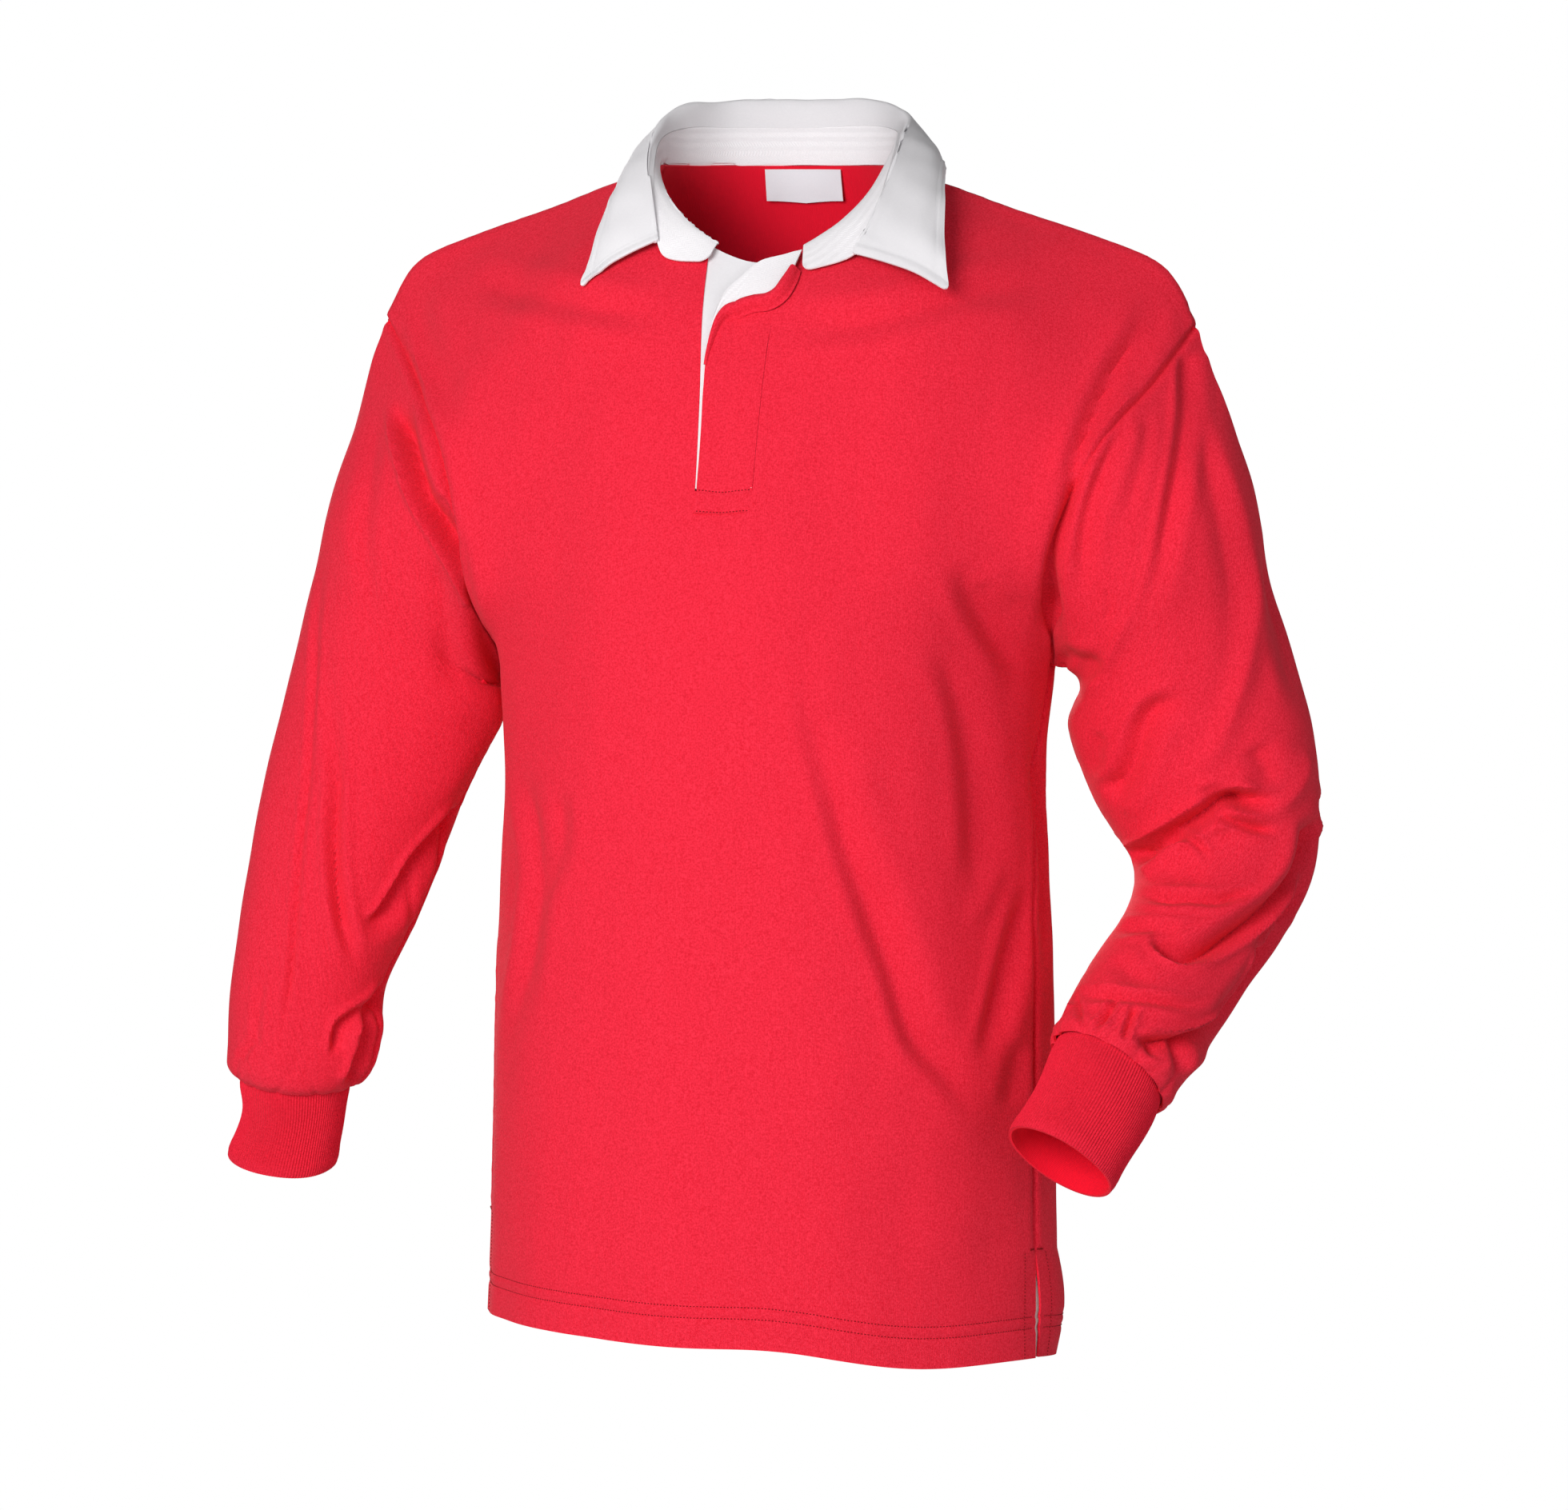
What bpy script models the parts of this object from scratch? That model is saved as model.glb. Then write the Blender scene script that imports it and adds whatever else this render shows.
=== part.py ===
"""A long-sleeved rugby shirt, size M, filled out as if somebody wore it.

The frame is the wearer's: +Z up, the wearer faces -Y, and the wearer's left is +X. The
origin lies at the base of the neck, where the shirt hangs on the wearer. Lengths are metres.

Every piece of cloth is a wall. Its outer face is a grid of points that smooth curves draw
through a few sections; the wall then gets its thickness inwards. Pieces that are sewn
together share the points of their seam, and stop half a seam gap short of it.
"""
import math

import bpy
import numpy as np

# Cloth
JERSEY = 0.0016
RIB = 0.0020
TWILL = 0.0012
TAPE = 0.0010
SEAM_GAP = 0.0003

# Fineness of the walls
LEAF_POINTS = 8
FOLD_POINTS = 25
SIDE_STEPS = 2
ARMHOLE_STEPS = 2
SLEEVE_STEPS = 2
COLLAR_STEPS = 3
PANEL_SHARES = 100
PANEL_PARTS = 8
COLUMNS = (0.09, 0.20, 0.31, 0.43, 0.57, 0.71, 0.86, 1.0)
NECK_COLUMN = 0.43

# Body of the shirt: one row for each level from the hem to the armpit.
# turn is how far the cloth has turned from the wearer's front towards the side at the seam,
# and tilt is how much a row falls for each metre towards the wearer's left.
TORSO_COLUMNS = (
    "name", "seam_x", "seam_y", "seam_z", "front_y", "front_z", "back_y", "back_z", "full",
    "turn", "tilt",
)
TORSO_SECTIONS = (
    ("hem", 0.177, -0.020, -0.724, -0.124, -0.7265, 0.112, -0.727, 0.60, 76.0, 0.062),
    ("vent top", 0.1755, -0.020, -0.660, -0.124, -0.666, 0.110, -0.662, 0.60, 76.0, 0.055),
    ("hip", 0.1745, -0.018, -0.595, -0.123, -0.600, 0.106, -0.597, 0.60, 76.0, 0.040),
    ("seat", 0.174, -0.014, -0.520, -0.122, -0.520, 0.102, -0.520, 0.60, 76.0, 0.015),
    ("waist", 0.1715, -0.008, -0.440, -0.124, -0.440, 0.103, -0.440, 0.60, 78.0, 0.000),
    ("ribs", 0.170, 0.002, -0.380, -0.126, -0.372, 0.110, -0.378, 0.60, 82.0, 0.000),
    ("armpit", 0.176, 0.020, -0.312, -0.125, -0.300, 0.118, -0.310, 0.58, 86.0, 0.000),
)

# Yoke: one row for each level from the armpit to the shoulder. The edge follows the armhole.
YOKE_COLUMNS = (
    "name", "centre_y", "centre_z", "left_x", "right_x", "edge_y", "edge_z", "turn", "arch",
    "full",
)
FRONT_YOKE = (
    ("low", -0.119, -0.250, 0.189, 0.185, -0.040, -0.262, 66.0, 0.000, 0.52),
    ("placket end", -0.108, -0.205, 0.202, 0.190, -0.054, -0.215, 50.0, 0.006, 0.48),
    ("high", -0.094, -0.150, 0.222, 0.204, -0.045, -0.170, 40.0, 0.018, 0.44),
    ("collar bone", -0.075, -0.100, 0.247, 0.232, -0.005, -0.130, 45.0, 0.034, 0.42),
)
BACK_YOKE = (
    ("low", 0.122, -0.250, 0.188, 0.188, 0.078, -0.262, 62.0, 0.000, 0.52),
    ("blades", 0.121, -0.190, 0.205, 0.205, 0.094, -0.215, 45.0, 0.004, 0.48),
    ("high", 0.116, -0.120, 0.226, 0.226, 0.094, -0.170, 35.0, 0.010, 0.44),
    ("neck base", 0.105, -0.050, 0.250, 0.250, 0.073, -0.128, 35.0, 0.018, 0.42),
)

# Shoulder seam, from the neck to the armhole
SHOULDER_COLUMNS = ("name", "x", "y", "z")
SHOULDER_SEAM = (
    ("neck", 0.0735, 0.018, 0.006),
    ("by the collar", 0.110, 0.024, -0.004),
    ("inner", 0.150, 0.030, -0.018),
    ("outer", 0.200, 0.035, -0.034),
    ("shoulder", 0.240, 0.038, -0.050),
    ("over the edge", 0.257, 0.039, -0.070),
    ("armhole", 0.264, 0.038, -0.091),
)
SHOULDER_TILT = 0.025

# Neckline: half width, depth behind and before the shoulder seam, drop at the front
NECK_HALF_WIDTH = 0.0735
NECK_BACK_DEPTH = 0.072
NECK_BACK_RISE = 0.006
NECK_FRONT_DEPTH = 0.070
NECK_DROP = 0.063
NECK_DROP_SWING = 0.005
NECK_POWER = 1.5
NECK_POWER_SWING = 0.4
NECK_BLEND = 0.02

# Sleeves: rings from the armhole to the cuff. lift is the angle by which a ring's outer end
# is higher than its inner end.
RING_COLUMNS = ("name", "x", "y", "z", "across", "deep", "lift")
LEFT_SLEEVE = (
    ("cap", 0.242, 0.026, -0.248, 0.085, 0.066, 49.0),
    ("upper", 0.250, 0.034, -0.288, 0.069, 0.061, 29.0),
    ("biceps", 0.255, 0.041, -0.330, 0.073, 0.058, 12.0),
    ("low arm", 0.2675, 0.046, -0.372, 0.069, 0.055, 8.0),
    ("above elbow", 0.2775, 0.048, -0.405, 0.062, 0.052, 4.0),
    ("elbow", 0.2815, 0.042, -0.435, 0.057, 0.049, -4.0),
    ("below elbow", 0.276, 0.027, -0.462, 0.051, 0.047, -12.0),
    ("forearm", 0.264, 0.006, -0.488, 0.046, 0.045, -18.0),
    ("low forearm", 0.250, -0.017, -0.513, 0.044, 0.043, -21.0),
    ("wrist", 0.238, -0.039, -0.538, 0.042, 0.040, -25.0),
    ("cuff seam", 0.228, -0.055, -0.558, 0.038, 0.036, -29.0),
)
LEFT_CUFF = (
    ("middle", 0.220, -0.071, -0.581, 0.036, 0.034, -28.0),
    ("mouth", 0.206, -0.090, -0.610, 0.035, 0.033, -27.0),
)
RIGHT_SLEEVE = (
    ("cap", -0.238, 0.024, -0.250, 0.082, 0.066, 52.0),
    ("upper", -0.247, 0.022, -0.286, 0.067, 0.060, 32.0),
    ("biceps", -0.256, 0.023, -0.330, 0.068, 0.058, 8.0),
    ("low arm", -0.271, 0.021, -0.380, 0.066, 0.056, 2.0),
    ("elbow", -0.285, 0.018, -0.432, 0.061, 0.053, 0.0),
    ("below elbow", -0.297, 0.015, -0.477, 0.056, 0.050, -3.0),
    ("forearm", -0.308, 0.014, -0.513, 0.049, 0.048, -3.0),
    ("wrist", -0.311, 0.015, -0.542, 0.048, 0.046, 0.0),
    ("blouse", -0.315, 0.016, -0.562, 0.045, 0.044, 6.0),
    ("cuff seam", -0.319, 0.018, -0.571, 0.036, 0.035, 8.0),
)
RIGHT_CUFF = (
    ("middle", -0.322, 0.023, -0.593, 0.033, 0.032, 8.0),
    ("mouth", -0.333, 0.033, -0.623, 0.035, 0.033, 10.0),
)

# Collar: one row for each place round the neck. turn is the place on the neckline, from the
# centre back (0) past the shoulder seam (90) to the centre front (180). The band reaches from
# the neckline to its top edge; the leaf goes on over the roll and down to its own edge.
COLLAR_COLUMNS = (
    "name", "turn", "band_x", "band_y", "band_z", "roll_x", "roll_y", "roll_z", "radius",
    "edge_x", "edge_y", "edge_z",
)
LEFT_COLLAR = (
    ("centre back", 0.0, 0.000, 0.093, 0.036, 0.000, 0.099, 0.0545, 0.0040, 0.000, 0.121, 0.000),
    ("back", 35.0, 0.044, 0.081, 0.035, 0.048, 0.087, 0.051, 0.0040, 0.062, 0.108, -0.004),
    ("corner", 65.0, 0.069, 0.052, 0.029, 0.076, 0.053, 0.038, 0.0040, 0.093, 0.066, -0.002),
    ("side", 90.0, 0.079, 0.016, 0.018, 0.083, 0.015, 0.022, 0.0018, 0.108, 0.018, 0.000),
    ("side front", 115.0, 0.081, -0.016, -0.006, 0.084, -0.018, -0.003, 0.0012, 0.118, -0.022, -0.022),
    ("front", 133.0, 0.079, -0.040, -0.032, 0.080, -0.043, -0.030, 0.0008, 0.125, -0.050, -0.054),
    ("leaf end", 146.0, 0.070, -0.055, -0.057, 0.071, -0.057, -0.057, 0.0004, 0.132, -0.066, -0.083),
)
LEFT_BAND_TIP = (
    ("tip", 152.0, 0.038, -0.062, -0.068),
)
RIGHT_COLLAR = (
    ("centre back", 0.0, 0.000, 0.093, 0.036, 0.000, 0.099, 0.0545, 0.0040, 0.000, 0.121, 0.000),
    ("back", 35.0, -0.044, 0.081, 0.036, -0.048, 0.087, 0.053, 0.0040, -0.062, 0.108, -0.004),
    ("corner", 65.0, -0.067, 0.052, 0.034, -0.073, 0.053, 0.047, 0.0040, -0.088, 0.066, 0.002),
    ("side", 90.0, -0.075, 0.016, 0.024, -0.078, 0.015, 0.028, 0.0018, -0.093, 0.018, 0.004),
    ("side front", 115.0, -0.070, -0.018, 0.002, -0.073, -0.020, 0.004, 0.0010, -0.094, -0.024, -0.016),
    ("front", 135.0, -0.063, -0.040, -0.025, -0.064, -0.043, -0.024, 0.0006, -0.099, -0.048, -0.045),
    ("leaf end", 150.0, -0.057, -0.054, -0.047, -0.058, -0.056, -0.047, 0.0004, -0.104, -0.062, -0.077),
)
RIGHT_BAND_TIP = (
    ("curve", 157.0, -0.048, -0.059, -0.058),
    ("tip", 163.0, -0.026, -0.061, -0.0605),
)
COLLAR_CLEARANCE = 0.0018
STAND_REACH = 0.006

# Placket: level runs up the front panel (7 low on the chest, 8 at the end of the opening, 11
# at the neckline), and left and right are shares of the half width of the panel. The fly
# buttons over the white strip; its top end hangs open to the wearer's left.
PLACKET_COLUMNS = ("name", "level", "left", "right", "rise")
FLY = (
    ("box", 7.72, -0.089, 0.089, 0.0),
    ("slit end", 8.0, -0.088, 0.089, 0.0),
    ("third button", 8.6, -0.087, 0.089, 0.0),
    ("second button", 9.1, -0.084, 0.089, 0.0003),
    ("opens", 9.45, -0.078, 0.089, 0.0006),
    ("curves", 9.75, -0.070, 0.089, 0.0009),
    ("below the roll", 10.05, -0.056, 0.090, 0.0011),
    ("roll", 10.34, -0.034, 0.093, 0.0012),
)
UNDER_STRIP = (
    ("end", 8.03, -0.100, 0.086, -0.0008),
    ("middle", 9.5, -0.103, 0.086, -0.0012),
    ("neck", 10.95, -0.120, 0.086, -0.0024),
)
# Rolled top of the fly's facing: its centre line on the front panel, half its width and how
# far it stands out
FACING_COLUMNS = ("name", "share", "level", "half", "rise")
FACING_ROLL = (
    ("edge start", -0.078, 9.50, 0.0018, 0.0056),
    ("edge", -0.068, 9.80, 0.0018, 0.0060),
    ("corner", -0.057, 10.06, 0.0020, 0.0066),
    ("turn", -0.040, 10.24, 0.0028, 0.0074),
    ("top left", -0.012, 10.39, 0.0034, 0.0082),
    ("top", 0.030, 10.45, 0.0036, 0.0086),
    ("over the seam", 0.088, 10.43, 0.0036, 0.0086),
    ("hook", 0.120, 10.45, 0.0034, 0.0086),
    ("end", 0.136, 10.58, 0.0026, 0.0082),
)
# White tape behind the roll, from under the band's end to the corner of the fly
TAPE_COLUMNS = ("name", "share", "upper", "lower", "rise")
PLACKET_TAPE = (
    ("under the band", 0.121, 10.92, 10.60, 0.0036),
    ("corner", 0.090, 10.96, 10.46, 0.0036),
    ("middle", 0.039, 10.92, 10.45, 0.0036),
    ("left", 0.005, 10.70, 10.45, 0.0034),
    ("end", -0.036, 10.46, 10.39, 0.0032),
)

# Largest folds, as lines of three points seen from the front: a negative depth is a trough
FOLD_COLUMNS = ("name", "piece", "x1", "z1", "x2", "z2", "x3", "z3", "width", "depth")
FOLDS = (
    ("long drag", "front_panel", 0.053, -0.329, 0.107, -0.503, 0.168, -0.599, 0.016, -0.006),
    ("left armhole", "front_panel", 0.236, -0.100, 0.200, -0.185, 0.176, -0.290, 0.013, -0.005),
    ("right side", "front_panel", -0.131, -0.370, -0.110, -0.400, -0.131, -0.488, 0.016, -0.004),
    ("back drag", "back_panel", 0.070, -0.280, 0.030, -0.400, -0.030, -0.520, 0.016, -0.005),
    ("back side", "back_panel", -0.100, -0.340, -0.120, -0.450, -0.140, -0.590, 0.016, -0.004),
    ("cap", "sleeve_left", 0.230, -0.166, 0.218, -0.205, 0.205, -0.274, 0.012, -0.006),
    ("upper arm", "sleeve_left", 0.266, -0.122, 0.252, -0.220, 0.223, -0.277, 0.012, -0.004),
    ("elbow", "sleeve_left", 0.233, -0.424, 0.276, -0.397, 0.302, -0.385, 0.011, -0.006),
    ("forearm", "sleeve_left", 0.253, -0.470, 0.306, -0.482, 0.336, -0.431, 0.011, -0.005),
    ("armhole drag", "sleeve_right", -0.242, -0.129, -0.218, -0.205, -0.190, -0.261, 0.013, -0.006),
    ("front drag", "sleeve_right", -0.279, -0.393, -0.276, -0.444, -0.261, -0.500, 0.012, -0.005),
    ("crease", "sleeve_right", -0.292, -0.241, -0.305, -0.393, -0.329, -0.566, 0.009, -0.003),
)

# Neck label inside the back, and the tape in the vent on the wearer's left
LABEL_HALF = 0.100
LABEL_COLUMNS = ("level", "depth")
LABEL_ROWS = ((10.97, 0.0031), (10.80, 0.0040), (10.63, 0.0044))
LABEL_WALL = 0.0006
VENT_OPENING = 0.006
VENT_TAPE_REACH = 0.004
VENT_TAPE_DEPTH = 0.0006


def table(columns, rows):
    """Return the rows of a table as dictionaries, one entry for each named column."""
    return [dict(zip(columns, row)) for row in rows]


def smooth(stations, values, at):
    """Return values on the smooth curve that passes through values at stations."""
    stations = np.asarray(stations, float)
    values = np.asarray(values, float)
    gaps = np.diff(stations)
    shape = (-1,) + (1,) * (values.ndim - 1)
    slopes = np.diff(values, axis=0) / gaps.reshape(shape)
    before = gaps[:-1].reshape(shape)
    after = gaps[1:].reshape(shape)
    inner = (slopes[:-1] * after + slopes[1:] * before) / (before + after)
    tangents = np.concatenate([slopes[:1], inner, slopes[-1:]])
    at = np.asarray(at, float)
    spot = np.clip(np.searchsorted(stations, at, side="right") - 1, 0, len(gaps) - 1)
    step = gaps[spot].reshape(shape)
    t = ((at - stations[spot]) / gaps[spot]).reshape(shape)
    start = values[spot]
    end = values[spot + 1]
    return (
        start * (2 * t**3 - 3 * t**2 + 1)
        + end * (3 * t**2 - 2 * t**3)
        + tangents[spot] * step * (t**3 - 2 * t**2 + t)
        + tangents[spot + 1] * step * (t**3 - t**2)
    )


def run_lengths(points):
    """Return how far along a line of points each point lies."""
    steps = np.linalg.norm(np.diff(points, axis=0), axis=1)
    return np.concatenate([[0.0], np.cumsum(steps)])


def even(curve, shares):
    """Return points on a dense line at the given shares of its length."""
    lengths = run_lengths(curve)
    at = np.asarray(shares) * lengths[-1]
    return np.column_stack([np.interp(at, lengths, curve[:, axis]) for axis in range(3)])


def split(count, parts):
    """Return the stations 0 to count - 1 with each gap cut into parts."""
    return np.linspace(0.0, count - 1, (count - 1) * parts + 1)


def section(centre, edge, turn, full, arch, shares):
    """Return one side of a level of the body, from its centre to its edge."""
    t = np.linspace(0.0, 1.0, 80)[:, None]
    angle = math.radians(turn)
    first = np.array([full * edge[0], centre[1], centre[2]])
    last = np.array([
        edge[0] - math.cos(angle) * full * edge[0],
        edge[1] - math.sin(angle) * full * (edge[1] - centre[1]),
        edge[2] + 0.35 * (centre[2] - edge[2]),
    ])
    curve = (
        (1 - t) ** 3 * centre
        + 3 * (1 - t) ** 2 * t * first
        + 3 * (1 - t) * t**2 * last
        + t**3 * edge
    )
    points = even(curve, shares)
    points[:, 2] += arch * np.sin(np.pi * np.asarray(shares))
    return points


def neckline(turn, side):
    """Return points of the neckline. turn is 0 at the centre back and 180 at the front."""
    angle = np.radians(np.asarray(turn, float))
    x = NECK_HALF_WIDTH * np.sin(angle) * side
    ahead = np.cos(angle)
    swing = np.tanh(x / NECK_BLEND)
    drop = NECK_DROP + NECK_DROP_SWING * swing
    power = NECK_POWER - NECK_POWER_SWING * swing
    start = np.array(SHOULDER_SEAM[0][2:])
    back_y = start[0] + NECK_BACK_DEPTH * ahead
    front_y = start[0] + NECK_FRONT_DEPTH * ahead
    back_z = start[1] + NECK_BACK_RISE * ahead
    front_z = start[1] - drop * np.abs(ahead) ** power
    y = np.where(ahead >= 0, back_y, front_y)
    z = np.where(ahead >= 0, back_z, front_z)
    return np.stack([x, y, z], axis=-1)


def top_edge(front, side, shares):
    """Return the top edge of a panel: half the neckline, then the shoulder seam."""
    shares = np.asarray(shares, float)
    turns = np.linspace(180.0, 90.0, 60) if front else np.linspace(0.0, 90.0, 60)
    neck = neckline(turns, side)
    seam = np.array([row[1:] for row in SHOULDER_SEAM])
    stations = np.arange(len(seam))
    line = smooth(stations, seam, np.linspace(0, stations[-1], 60))
    line[:, 0] *= side
    by_neck = even(neck, np.minimum(shares / NECK_COLUMN, 1.0))
    by_seam = even(line, np.maximum((shares - NECK_COLUMN) / (1 - NECK_COLUMN), 0.0))
    return np.where((shares <= NECK_COLUMN)[:, None], by_neck, by_seam)


def panel_levels(front, side, shares):
    """Return the level curves of one side of the front or back, from hem to shoulder."""
    levels = []
    for row in table(TORSO_COLUMNS, TORSO_SECTIONS):
        depth = "front" if front else "back"
        centre = np.array([0.0, row[depth + "_y"], row[depth + "_z"]])
        edge = np.array([row["seam_x"], row["seam_y"], row["seam_z"]])
        turn = row["turn"] if front else 180.0 - row["turn"]
        level = section(centre, edge, turn, row["full"], 0.0, shares)
        level[:, 0] *= side
        level[:, 2] -= row["tilt"] * level[:, 0]
        levels.append(level)
    for row in table(YOKE_COLUMNS, FRONT_YOKE if front else BACK_YOKE):
        centre = np.array([0.0, row["centre_y"], row["centre_z"]])
        reach = row["left_x"] if side == 1 else row["right_x"]
        edge = np.array([reach, row["edge_y"], row["edge_z"]])
        level = section(centre, edge, row["turn"], row["full"], row["arch"], shares)
        level[:, 0] *= side
        levels.append(level)
    levels.append(top_edge(front, side, shares))
    for step, level in enumerate(levels[len(TORSO_SECTIONS):]):
        level[:, 2] -= SHOULDER_TILT * level[:, 0] * (step + 1) / (len(BACK_YOKE) + 1)
    return np.array(levels)


def panel(front, half_shares, side_steps, armhole_steps):
    """Return the outer face of the front or back: rows go up, columns to the wearer's left."""
    shares = np.concatenate([[0.0], half_shares])
    left = panel_levels(front, 1, shares)
    right = panel_levels(front, -1, shares)
    levels = np.concatenate([right[:, :0:-1], left], axis=1)
    body = len(TORSO_SECTIONS)
    low = split(body, side_steps)
    high = body - 1 + split(len(levels) - body + 1, armhole_steps)
    at = np.concatenate([low, high[1:]])
    return smooth(np.arange(len(levels)), levels, at)


def dense_panel(front):
    """Return a panel with a column for each hundredth of its half width."""
    shares = np.arange(1, PANEL_SHARES + 1) / PANEL_SHARES
    return panel(front, shares, PANEL_PARTS, PANEL_PARTS)


def lay_on(dense, share, level, rise):
    """Return points over a panel at the given shares and levels, moved out by rise."""
    share, level, rise = np.broadcast_arrays(share, level, rise)
    normals = grid_normals(dense, False)
    if normals[0, PANEL_SHARES, 1] * dense[0, PANEL_SHARES, 1] < 0:
        normals = -normals
    column = np.clip((share + 1) * PANEL_SHARES, 0, dense.shape[1] - 1.001)
    row = np.clip(level * PANEL_PARTS, 0, dense.shape[0] - 1.001)
    low, left = np.floor(row).astype(int), np.floor(column).astype(int)
    up, over = (row - low)[..., None], (column - left)[..., None]
    points = 0.0
    for row_step, row_weight in ((0, 1 - up), (1, up)):
        for column_step, column_weight in ((0, 1 - over), (1, over)):
            place = (low + row_step, left + column_step)
            spot = dense[place] + normals[place] * rise[..., None]
            points = points + spot * row_weight * column_weight
    return points


def stand_off(grid, dense, gap):
    """Return a grid with the points that lie nearer than gap to a panel moved off it."""
    normals = grid_normals(dense, False)
    if normals[0, PANEL_SHARES, 1] * dense[0, PANEL_SHARES, 1] < 0:
        normals = -normals
    faces = dense.reshape(-1, 3)
    outward = normals.reshape(-1, 3)
    result = grid.copy()
    for place in np.ndindex(grid.shape[:2]):
        apart = result[place] - faces
        nearest = np.argmin(np.einsum("ij,ij->i", apart, apart))
        height = apart[nearest] @ outward[nearest]
        aside = np.linalg.norm(apart[nearest] - height * outward[nearest])
        if height < gap and aside < STAND_REACH:
            result[place] += outward[nearest] * (gap - height)
    return result


def join_sides(front, back, seam_rows):
    """Let the edges of front and back meet on one line below the armpit."""
    for column, sign in ((0, 1), (-1, -1)):
        gap = back[:seam_rows, column] - front[:seam_rows, column]
        reach = np.linspace(0.0, 1.0, 4)
        for step, share in enumerate(reach[1:]):
            index = (2 - step) if column == 0 else (-3 + step)
            front[:seam_rows, index] += gap * share / 2
            back[:seam_rows, index] -= gap * share / 2


def ring(row, axis, side, count):
    """Return one ring of a sleeve: from the underarm seam round by the front."""
    lift = math.radians(row["lift"])
    across = np.array([side * math.cos(lift), 0.0, math.sin(lift)])
    ahead = np.cross(axis, across)
    ahead /= np.linalg.norm(ahead)
    if ahead[1] > 0:
        ahead = -ahead
    angles = np.linspace(0.0, 2 * math.pi, count + 1)[:-1, None]
    centre = np.array([row["x"], row["y"], row["z"]])
    return centre - across * row["across"] * np.cos(angles) + ahead * row["deep"] * np.sin(angles)


def sleeve(armhole, rings, cuff, side, steps):
    """Return the grids of a sleeve and its cuff. Rows go down the arm, columns round it."""
    rows = table(RING_COLUMNS, rings + cuff)
    centres = np.array([[row["x"], row["y"], row["z"]] for row in rows])
    centres = np.concatenate([[armhole.mean(axis=0)], centres])
    axes = np.gradient(centres, axis=0)
    loops = [armhole]
    for row, axis in zip(rows, axes[1:]):
        loops.append(ring(row, axis, side, len(armhole)))
    stations = np.arange(len(centres))
    seam = len(rings)
    upper = smooth(stations, loops, split(seam + 1, steps))
    lower = smooth(stations[seam:], loops[seam:], seam + split(len(cuff) + 1, steps))
    return upper, lower


def grid_normals(grid, closed):
    """Return the unit normals of a grid; closed grids meet themselves round the rows."""
    down = np.gradient(grid, axis=0)
    if closed:
        across = (np.roll(grid, -1, axis=1) - np.roll(grid, 1, axis=1)) / 2
    else:
        across = np.gradient(grid, axis=1)
    normals = np.cross(across, down)
    return normals / np.linalg.norm(normals, axis=2, keepdims=True)


def seam_key(point):
    """Return a key that is the same for points that pieces share."""
    return tuple(np.round(point, 5) + 0.0)


class Cloth:
    """One piece of cloth: a grid of points on its face, and what its wall needs."""

    def __init__(self, name, grid, wall, material, closed=False, flip=False, keep=None):
        self.name = name
        self.grid = np.array(grid)
        self.wall = wall
        self.material = material
        self.closed = closed
        self.keep = keep
        self.normals = grid_normals(self.grid, closed) * (-1 if flip else 1)

    def border(self):
        """Return the grid places on the piece's outer border."""
        rows, columns = self.grid.shape[:2]
        places = {(row, column) for row in (0, rows - 1) for column in range(columns)}
        if not self.closed:
            places |= {(row, column) for column in (0, columns - 1) for row in range(rows)}
        return places


def press_folds(piece, folds):
    """Sink the points of a piece that lie on its folds, but leave its seams as they are."""
    rows, columns = piece.grid.shape[:2]
    free = np.ones((rows, columns), bool)
    for place in piece.border():
        free[place] = False
    facing = np.abs(np.clip(piece.normals[..., 1], None, 0.0))
    if piece.name.startswith("back"):
        facing = np.clip(piece.normals[..., 1], 0.0, None)
    flat = piece.grid[..., [0, 2]]
    moved = np.zeros((rows, columns))
    for fold in folds:
        bends = np.array([[fold["x" + n], fold["z" + n]] for n in "123"])
        line = smooth((0, 1, 2), bends, np.linspace(0.0, 2.0, FOLD_POINTS))
        away = np.linalg.norm(flat[:, :, None] - line, axis=3).min(axis=2)
        moved += fold["depth"] * np.exp(-((away / fold["width"]) ** 2))
    piece.grid += piece.normals * (moved * facing * free)[..., None]


def share_seams(pieces):
    """Give points that sewn pieces share one common direction for their walls."""
    totals = {}
    for piece in pieces:
        for place in piece.border():
            key = seam_key(piece.grid[place])
            totals[key] = totals.get(key, 0.0) + piece.normals[place]
    for piece in pieces:
        for place in piece.border():
            total = totals[seam_key(piece.grid[place])]
            size = np.linalg.norm(total)
            if size > 0.5:
                piece.normals[place] = total / size


def trim(piece, gap):
    """Draw the border of a piece back by half a seam gap, along the cloth."""
    grid = piece.grid
    result = grid.copy()
    rows, columns = grid.shape[:2]

    def pull(edge, inner):
        away = inner - edge
        return edge + away / np.linalg.norm(away, axis=-1, keepdims=True) * gap / 2

    result[0] += pull(grid[0], grid[1]) - grid[0]
    result[-1] += pull(grid[-1], grid[-2]) - grid[-1]
    if not piece.closed:
        result[:, 0] += pull(grid[:, 0], grid[:, 1]) - grid[:, 0]
        result[:, -1] += pull(grid[:, -1], grid[:, -2]) - grid[:, -1]
    piece.grid = result


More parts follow.
